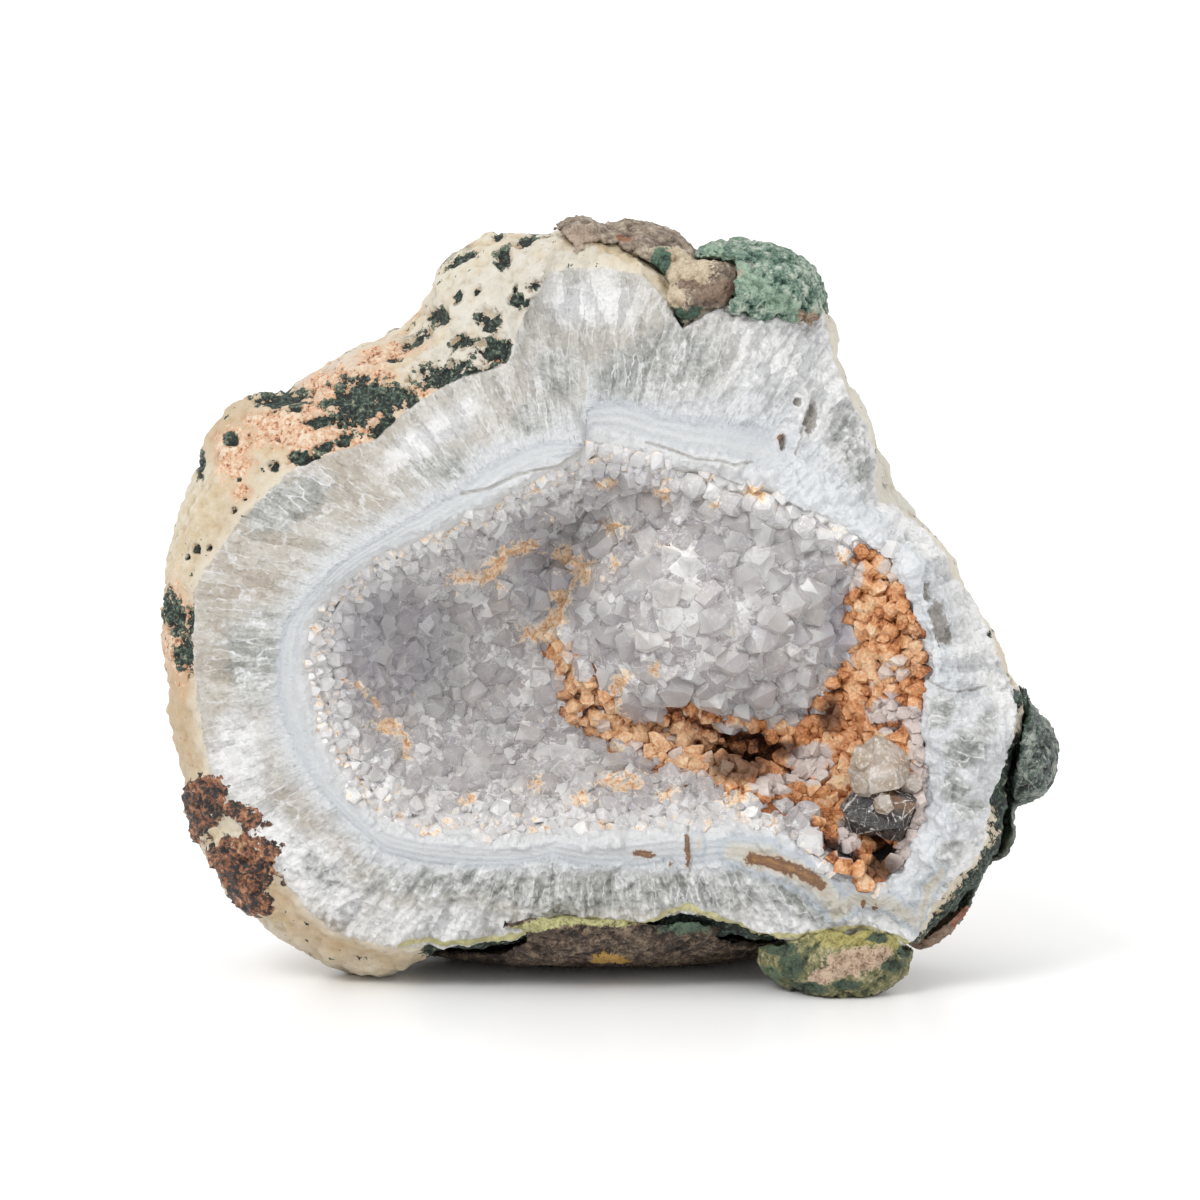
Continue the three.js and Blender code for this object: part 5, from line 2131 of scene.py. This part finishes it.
@dataclass(frozen=True)
class SmokyFinish:
    """Smoky quartz: clear beige above, near black below, with scratches."""

    beige: Colour = tint(188, 170, 148)
    brown: Colour = tint(112, 84, 62)
    black: Colour = tint(30, 27, 26)
    scratch: Colour = tint(196, 190, 184)

    def material(self) -> Material:
        """Builds the crystal's material.

        Returns:
            The material.
        """
        g = Graph.material("smoky quartz")
        here = g.place()
        cloud = g.noise(here, 3.2, 4, 0.65)
        fine = g.noise(here, 0.8, 4, 0.65)
        bent = g.bent(here, here, 2.5, 4.0)
        line = g.ease(g.cracks(bent, 2.6), 0.035, 0.0) * g.ease(cloud + (fine - 0.5) * 0.5, 0.48, 0.6)
        dark, edge = g.value("dark"), g.value("edge")
        brown = g.ease(g.value("brown") + cloud - 0.5, -0.2, 0.3)
        colour = g.layers(
            g.mix(g.ease(cloud, 0.35, 0.65), self.beige, tint(222, 214, 204)),
            (g.ease(fine, 0.52, 0.68) * 0.5 * g.ease(cloud, 0.5, 0.65), self.brown),
            (dark, g.mix(g.ease(fine * 0.6 + cloud * 0.4, 0.42, 0.66), self.black, tint(70, 64, 61))),
            (brown * dark * 0.85, self.brown),
            (line * 0.65, self.scratch),
            (g.ease(fine, 0.66, 0.72) * g.ease(cloud, 0.45, 0.6) * 0.6, self.scratch),
            # painted highlight: the crystal's thin edge faces are made paler
            (edge * g.ease(fine, 0.4, 0.6) * 0.6, tint(226, 222, 218)),
        )
        normal = g.bump((g.noise(g.place((2.0, 2.0, 0.3)), 0.8, 2), 0.12), (cloud, 0.3), (fine, 0.1))
        solid = g.surface(Base_Color=colour, Roughness=0.1 + fine * 0.14, Normal=normal, IOR=1.544)
        glass = g.surface(
            Base_Color=(0.78, 0.72, 0.64), Roughness=0.06, Normal=normal, IOR=1.544, Transmission_Weight=1.0,
        )
        clarity = (1 - dark) * 0.45 * g.ease(fine, 0.7, 0.5)
        return g.finish(g.blend(clarity, solid, glass))


@dataclass
class SmokyCrystal(Crust):
    """The big smoky crystal in the pocket on the right, with paler ones grown against its top."""

    shards: tuple[tuple[Stand, float], ...] = (  # each with its darkness
        (Stand((44.6, -21.8, 38.0), (-0.22, -0.2, 1.0), 4.9, 7.6, 2.5), 0.0),
        (Stand((46.6, -24.0, 29.9), (0.25, -0.85, -0.3), 6.4, 5.8, 6.0), 1.0),
        (Stand((47.2, -24.0, 27.8), (0.2, -0.6, -0.8), 4.4, 4.0, 4.0), 1.0),
        (Stand((48.8, -24.4, 32.4), (0.7, -0.65, 0.3), 3.6, 3.7, 4.5), 1.0),
        (Stand((42.8, -24.8, 31.6), (-0.6, -0.7, 0.1), 3.2, 3.6, 3.0), 1.0),
        (Stand((41.4, -23.2, 40.2), (-0.45, -0.5, 0.7), 2.5, 3.4, 3.0), 0.0),
        (Stand((48.4, -22.4, 39.6), (0.5, -0.45, 0.75), 3.0, 4.0, 2.6), 0.0),
        (Stand((44.2, -24.6, 39.6), (-0.1, -0.75, 0.6), 2.4, 2.8, 2.6), 0.0),
        (Stand((47.4, -24.4, 38.0), (0.3, -0.8, 0.5), 2.2, 2.5, 2.4), 0.0),
        (Stand((44.6, -27.4, 33.6), (-0.3, -0.7, 0.6), 1.5, 1.7, 2.2), 0.0),
        (Stand((41.2, -24.8, 36.6), (-0.5, -0.6, 0.5), 1.9, 2.2, 2.6), 0.1),
        (Stand((50.4, -23.6, 36.0), (0.5, -0.7, 0.5), 1.7, 2.2, 2.6), 0.0),
    )
    marks: Mapping[str, Marks] = field(
        default_factory=lambda: {"brown": (Stroke(((44, 35.5), (47, 32.5), (51, 31)), 1.2),)}
    )
    finish: SmokyFinish = SmokyFinish()

    def build(self) -> Object:
        """Makes and dresses the crystal.

        Returns:
            The crystal's object.
        """
        solids = [
            standing(self._crystal(stand), stand, self.chance.uniform(0, self.most_spin))
            for stand, _ in self.shards
        ]
        crystal = new_object(self.name, *solids[0])
        self._join(crystal, solids[1:])
        owner = self._keep_crystals(crystal, solids)
        darkness = np.array([dark for _, dark in self.shards])
        keep_value(crystal.data, "dark", darkness[owner], Domain.FACE)
        return self._finished(crystal)


# Rocks ----


class Patch(NamedTuple):
    """A place on a rock with a colour of its own."""

    marks: Marks
    dark: Colour
    light: Colour
    fray: float = 0.7  # how ragged its edge is
    soft: float = 0.08  # how wide its edge is
    lift: float = 0.0  # mm that it stands out


@dataclass(frozen=True)
class RockFinish:
    """A rough rock: mottled ground, specks, patches and painted shade in its hollows."""

    name: str
    ground: tuple[Stop, ...]
    speck: Colour
    specks: float = 0.5  # how much the specks show
    grain: float = 1.1  # mm across the mottling
    roughness: float = 0.6
    depth: float = 0.35  # mm of fine relief

    def material(self, patches: Sequence[Patch]) -> Material:
        """Builds the rock's material.

        Args:
            patches: The rock's patches, whose strengths its mesh holds by number.

        Returns:
            The material.
        """
        g = Graph.material(self.name)
        here = g.place()
        fine = g.noise(here, 0.45, 3, 0.65)
        middle = g.noise(here, self.grain * 1.6, 5, 0.72)
        wide = g.noise(here, 7.0, 3, 0.6)
        facet, tone = g.grains(here, self.grain)
        # painted shade: the rock's low places, which the ground and the patches take darker
        hollow = g.ease(g.value("rise"), 0.5, 0.1)
        grit, blot = fine - 0.5, middle - 0.5
        shade = blot * 1.3 + tone * 0.16 + wide * 0.3 + grit * 0.5 + (0.5 - hollow) * 0.3 + 0.3
        bent = g.bent(here, here)
        veins = g.ease(g.cracks(bent, self.grain * 2.4), 0.05, 0.0) * g.ease(wide + grit * 0.5, 0.45, 0.6)
        colour = g.mix(veins * self.specks, g.ramp(shade, *self.ground), self.speck)
        colour = g.mix(g.ease(g.noise(here, 0.7, 2, 0.7), 0.6, 0.68) * self.specks, colour, self.speck)
        for number, patch in enumerate(patches):
            strength = g.value(f"patch_{number}") + blot * (patch.fray * 2.6) + grit * patch.fray
            # the patches take their darker colour in the hollows as painted shade, besides noise
            tint_share = g.ease(middle * 0.5 + fine * 0.5 - hollow * 0.1, 0.38, 0.56)
            patched = g.mix(tint_share, patch.dark, patch.light)
            colour = g.mix(g.ease(strength, -patch.soft, patch.soft), colour, patched)
        normal = g.bump((middle, self.depth * 2), (facet, self.depth), (fine, self.depth * 0.5))
        roughness = self.roughness + grit * 0.25 + (tone - 0.5) * 0.15
        return g.finish(g.surface(Base_Color=colour, Roughness=roughness, Normal=normal, IOR=1.5))


@dataclass
class Rock(Piece):
    """A piece of rock that hangs on the geode."""

    seed: int
    finish: RockFinish
    patches: tuple[Patch, ...]
    voxel: float = 0.7  # mm across a face of the mesh
    lumps: float = 0.7  # mm that the lumps stand out
    crumbs: float = 0.35  # the same for the crumbs
    lump_size: float = 4.5  # mm across a lump
    crumb_size: float = 1.4
    floor: float = 0.02  # mm under which nothing goes
    reach: float = 9.0  # mm from the front to where patches begin to end

    def build(self) -> Object:
        """Makes and dresses the rock.

        Returns:
            The rock's object.
        """
        rock = remeshed(self.name, self.node, self.voxel)
        mesh = rock.data
        points = relaxed(mesh, points_of(mesh), 5)
        move_points(mesh, points)
        grain = Grain(self.seed)
        cells, facet = grain.cells(points, self.lump_size)
        _, crumb = grain.cells(points + 40, self.crumb_size)
        swell = grain.layered(points, self.lump_size * 1.6)
        rise = self.lumps * (0.7 * facet + 0.5 * (0.45 - cells) + 0.35 * swell)
        creases = ease(np.abs(grain.layered(points + 7, self.lump_size * 0.9)), 0.12, 0)
        rise += self.crumbs * (crumb + 0.4 * grain.layered(points, self.crumb_size, 2) - 1.6 * creases)
        shown = np.clip(rise / (self.lumps + self.crumbs) * 0.5 + 0.5, 0, 1)
        depth = points[:, 1] - points[:, 1].min() + 4.0 * grain.layered(points, 5.0, 2)
        turned = 2.0 * ease(depth, self.reach, 2 * self.reach)
        strengths = [marked(patch.marks, points) - turned for patch in self.patches]
        for patch, strength in zip(self.patches, strengths, strict=True):
            rise += patch.lift * ease(strength + 0.3 * grain.layered(points, 1.6, 2), -0.1, 0.3)
        moved = points + normals_of(mesh) * rise[:, None]
        moved[:, 2] = np.maximum(moved[:, 2], self.floor)
        move_points(mesh, moved)
        # how high each point stands, which the finish darkens in low places as painted shade
        keep_value(mesh, "rise", shown)
        for number, strength in enumerate(strengths):
            keep_value(mesh, f"patch_{number}", strength)
        dress(rock, self.finish.material(self.patches), Shading.SMOOTH)
        return self.hand_in(rock)


BROWN_BASALT = (
    (0.3, lit(16, 12, 10)), (0.46, lit(48, 37, 29)), (0.6, lit(80, 63, 50)), (0.72, lit(112, 92, 76)),
    (0.85, lit(156, 136, 112)),
)

# The brown basalt under the geode.
BASALT_BASE = Rock(
    "basalt_base_rock", "basalt_base", "brown_basalt", seed=21,
    finish=RockFinish("brown basalt", BROWN_BASALT, lit(176, 160, 138), grain=1.0, roughness=0.68),
    patches=(
        Patch((Spot(14, 13.2, 6, 2.6, 10), Spot(24, 10, 5, 2, -30)), lit(58, 78, 66), lit(98, 120, 98), 0.9),
        Patch((Spot(0.5, 5.2, 3.4, 1.3, -8),), lit(176, 128, 50), lit(214, 172, 90), 0.4, 0.06, 0.2),
        Patch(
            (Stroke((
                (-35, 8.4), (-24, 9), (-15, 11), (-8, 13), (2, 12.6), (9, 14.2), (17, 14), (24, 10.5),
            ), 1.0),),
            lit(150, 146, 92), lit(206, 202, 146), 0.7, 0.2,
        ),
        Patch((Spot(-37, 4.5, 3.4, 2, 10), Spot(-30, 7, 6, 1.6)), lit(108, 66, 40), lit(176, 122, 82), 0.9),
    ),
)

# The dark knob on the right.
BASALT_KNOB = Rock(
    "basalt_knob_rock", "basalt_knob", "dark_basalt", seed=33,
    finish=RockFinish(
        "dark green basalt",
        (
            (0.3, lit(10, 13, 12)), (0.46, lit(32, 41, 38)), (0.6, lit(62, 77, 72)),
            (0.72, lit(100, 114, 106)), (0.86, lit(160, 166, 154)),
        ),
        lit(186, 190, 176), specks=0.6, grain=1.2, roughness=0.42,
    ),
    patches=(
        Patch((Spot(61, 20, 7, 13, -38), Spot(56, 10, 6, 6)), lit(38, 44, 38), lit(84, 92, 72), 0.8, 0.15),
        Patch((Spot(55, 9.5, 5.5, 5, 20),), lit(112, 84, 66), lit(178, 146, 122), 0.6, 0.12),
        Patch((Spot(62, 19.6, 1.6, 1.3, 20),), lit(178, 140, 50), lit(214, 184, 96), 0.5),
        Patch((Spot(59.5, 12.5, 2.4, 1.8, 30),), lit(132, 70, 44), lit(170, 102, 70), 0.6),
        Patch((Spot(66, 46, 3.5, 4, -40), Spot(64.5, 30, 2.2, 5)), lit(26, 48, 38), lit(58, 88, 70), 0.8),
    ),
)

# The brown and cream lump on top.
BASALT_CAP = Rock(
    "basalt_cap_rock", "basalt_cap", "brown_basalt", seed=45,
    finish=RockFinish(
        "weathered basalt and chalcedony",
        (
            (0.3, lit(66, 54, 44)), (0.45, lit(110, 94, 80)), (0.6, lit(146, 128, 110)),
            (0.75, lit(174, 158, 138)), (0.9, lit(206, 192, 170)),
        ),
        lit(96, 82, 70), specks=0.35, roughness=0.5,
    ),
    patches=(
        Patch((Spot(-6, 125.4, 4.6, 3.6),), lit(166, 144, 124), lit(196, 176, 156), 0.3, 0.2, 0.2),
        Patch(
            (Spot(12, 122, 5.5, 4, -20), Spot(9.6, 116.5, 4, 2.6, -50), Spot(-8, 121.6, 4, 1.6)),
            lit(190, 168, 138), lit(224, 208, 180), 0.6, 0.1, 0.2,
        ),
        Patch((Spot(8.4, 122.8, 1.9, 2.6, -10),), lit(42, 68, 54), lit(92, 124, 100), 0.6),
        Patch(
            (Spot(18.4, 117.6, 4.2, 1.8, 6), Spot(13, 119, 2, 0.9)),
            lit(104, 80, 62), lit(156, 132, 112), 0.8,
        ),
        Patch(
            (Spot(11.2, 112.2, 2.4, 3.2), Spot(14, 114, 1.6, 1.2)),
            lit(34, 52, 42), lit(72, 100, 80), 0.9, 0.08, -0.2,
        ),
        Patch((Spot(2, 127.5, 2, 1), Spot(-1, 119.4, 3, 0.8)), lit(110, 66, 42), lit(156, 108, 76), 0.9),
    ),
)

# The blue-green clay on top on the right.
CELADONITE_CAP = Rock(
    "celadonite_cap_rock", "celadonite_cap", "celadonite", seed=57, crumbs=0.5,
    finish=RockFinish(
        "celadonite",
        (
            (0.28, lit(32, 54, 46)), (0.42, lit(66, 98, 84)), (0.54, lit(104, 136, 118)),
            (0.68, lit(148, 172, 153)), (0.82, lit(208, 216, 200)),
        ),
        lit(206, 216, 196), grain=1.0, roughness=0.72, depth=0.45,
    ),
    patches=(
        Patch(
            (Stroke(((17, 124.5), (24, 119), (31, 113.5)), 1.6),),
            lit(132, 160, 138), lit(176, 200, 176), 1.0, 0.2,
        ),
        Patch(
            (Spot(17, 120, 4, 1.6, 20), Spot(34, 113, 2.4, 1.4)),
            lit(150, 120, 96), lit(196, 172, 148), 1.1, 0.12,
        ),
    ),
)

# The olive stone that the geode stands on at the right.
GREEN_FOOT = Rock(
    "green_foot_rock", "green_foot", "olive_stone", seed=69,
    finish=RockFinish(
        "olive stone",
        (
            (0.28, lit(34, 42, 30)), (0.42, lit(82, 88, 56)), (0.56, lit(118, 118, 76)),
            (0.7, lit(150, 144, 100)), (0.86, lit(196, 186, 146)),
        ),
        lit(58, 76, 58), specks=0.55, roughness=0.55,
    ),
    patches=(
        Patch((Spot(42, 11, 9, 2.6, 4), Spot(47, 9, 4, 2)), lit(146, 136, 66), lit(192, 182, 114), 0.8, 0.2),
        Patch(
            (Spot(40.5, 6, 6.4, 2.2, 12), Spot(35, 3.4, 2.2, 1.2)),
            lit(150, 118, 92), lit(212, 186, 160), 0.9, 0.12,
        ),
        Patch(
            spots(
                (44, 10, 1.6, 0.9), (30, 5, 2, 2.4), (47, 5, 1.8, 1.2), (39, 2, 3, 0.9), (28, 8, 2.6, 1.2),
                (33, 1.4, 3, 1), (49, 8, 1.2, 2),
            ),
            lit(40, 56, 44), lit(84, 102, 78), 0.9, 0.06, -0.15,
        ),
        Patch((Spot(26, 2.6, 2, 2.4),), lit(62, 84, 66), lit(112, 130, 96), 0.6),
    ),
)


# Floor, light and camera ----


@dataclass
class Studio:
    """A white floor, soft light and the camera."""

    target: tuple[float, float, float] = (0.000194, -0.009909, 0.062)  # in metres, like all here
    distance: float = 1.0
    elevation: float = 8.0  # degrees
    lens: float = 180.0
    sensor: float = 36.0
    lens_shift: tuple[float, float] = (-0.0096, 0.0113)
    floor: float = 6.0  # half the floor's width

    def build(self) -> None:
        """Sets up everything round the specimen."""
        self._floor()
        self._world()
        self._lamp("key", (-0.50, -0.60, 0.80), width=24.0, strength=1.35)
        self._lamp("fill", (0.80, -0.60, 0.30), width=40.0, strength=0.35)
        self._camera()
        view = bpy.context.scene.view_settings
        view.view_transform = "Standard"
        view.look = "None"

    def _floor(self) -> None:
        """A wide floor of white acrylic."""
        half = self.floor / MM
        corners = np.array([(-half, -half, 0), (half, -half, 0), (half, half, 0), (-half, half, 0)], float)
        floor = new_object("studio_floor", corners, [[0, 1, 2, 3]])
        g = Graph.material("white floor")
        cloud = g.noise(g.place(), 60.0, 2)
        colour = g.mix(cloud, (0.93, 0.93, 0.93), (0.95, 0.95, 0.95))
        dress(floor, g.finish(g.surface(Base_Color=colour, Roughness=0.3)), Shading.FACETED)
        floor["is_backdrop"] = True

    @staticmethod
    def _world() -> None:
        """An even white surround."""
        g = Graph(bpy.data.worlds.new("surround"))
        up = g.node("SeparateXYZ", s0=g.node("TexCoord").outputs["Generated"]).outputs["Z"]
        strength = g.node("MapRange", Value=up, To_Min=0.9, To_Max=1.2).outputs[0]
        shine = g.node("Background", Color=(1.0, 1.0, 1.0), Strength=strength).outputs[0]
        g.node("OutputWorld", Surface=shine)
        bpy.context.scene.world = g.owner

    @staticmethod
    def _lamp(name: str, side: tuple[float, float, float], width: float, strength: float) -> None:
        """A wide soft lamp, far away.

        Args:
            name: The lamp's name.
            side: Where its light comes from.
            width: How wide it looks from the specimen, in degrees.
            strength: Its strength in watts for each square metre.
        """
        light = bpy.data.lights.new(name, "SUN")
        light.angle = math.radians(width)
        light.energy = strength
        lamp = bpy.data.objects.new(name, light)
        lamp.rotation_euler = Vector(side).to_track_quat("Z", "Y").to_euler()
        bpy.context.scene.collection.objects.link(lamp)

    def _camera(self) -> None:
        """The camera, level with the hollow and a little above it."""
        data = bpy.data.cameras.new("camera")
        data.lens = self.lens
        data.sensor_width = self.sensor
        data.shift_x, data.shift_y = self.lens_shift
        data.clip_end = 50.0
        camera = bpy.data.objects.new("camera", data)
        angle = math.radians(self.elevation)
        away = Vector((0.0, -math.cos(angle), math.sin(angle)))
        camera.location = Vector(self.target) + self.distance * away
        camera.rotation_euler = (math.radians(90.0) - angle, 0.0, 0.0)
        bpy.context.scene.collection.objects.link(camera)
        bpy.context.scene.camera = camera


def write_sizes() -> None:
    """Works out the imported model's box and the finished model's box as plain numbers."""
    boxes = {"cad": CAD_BOX, "visual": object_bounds()}
    plain = {name: [[float(part) for part in corner] for corner in box] for name, box in boxes.items()}


def main() -> None:
    """Builds the specimen and everything round it."""
    logging.basicConfig(level=logging.INFO, format="%(message)s")
    Studio().build()
    hollow = Hollow()
    pieces = [
        Wall(),
        Druse("quartz_druse_crystals", "quartz_druse", "clear_quartz", hollow, seed=5),
        OchreCrust("ochre_crystal_crust", "ochre_crystals", "ochre_quartz", hollow, seed=8),
        SmokyCrystal("smoky_crystal_point", "smoky_crystal", "smoky_quartz", hollow, seed=17),
        BASALT_BASE,
        BASALT_KNOB,
        BASALT_CAP,
        CELADONITE_CAP,
        GREEN_FOOT,
    ]
    for piece in pieces:
        made = piece.build()
        log.info("%s: %d triangles", made.name, len(triangles_of(made.data)))
    write_sizes()


if __name__ == "__main__":
    main()
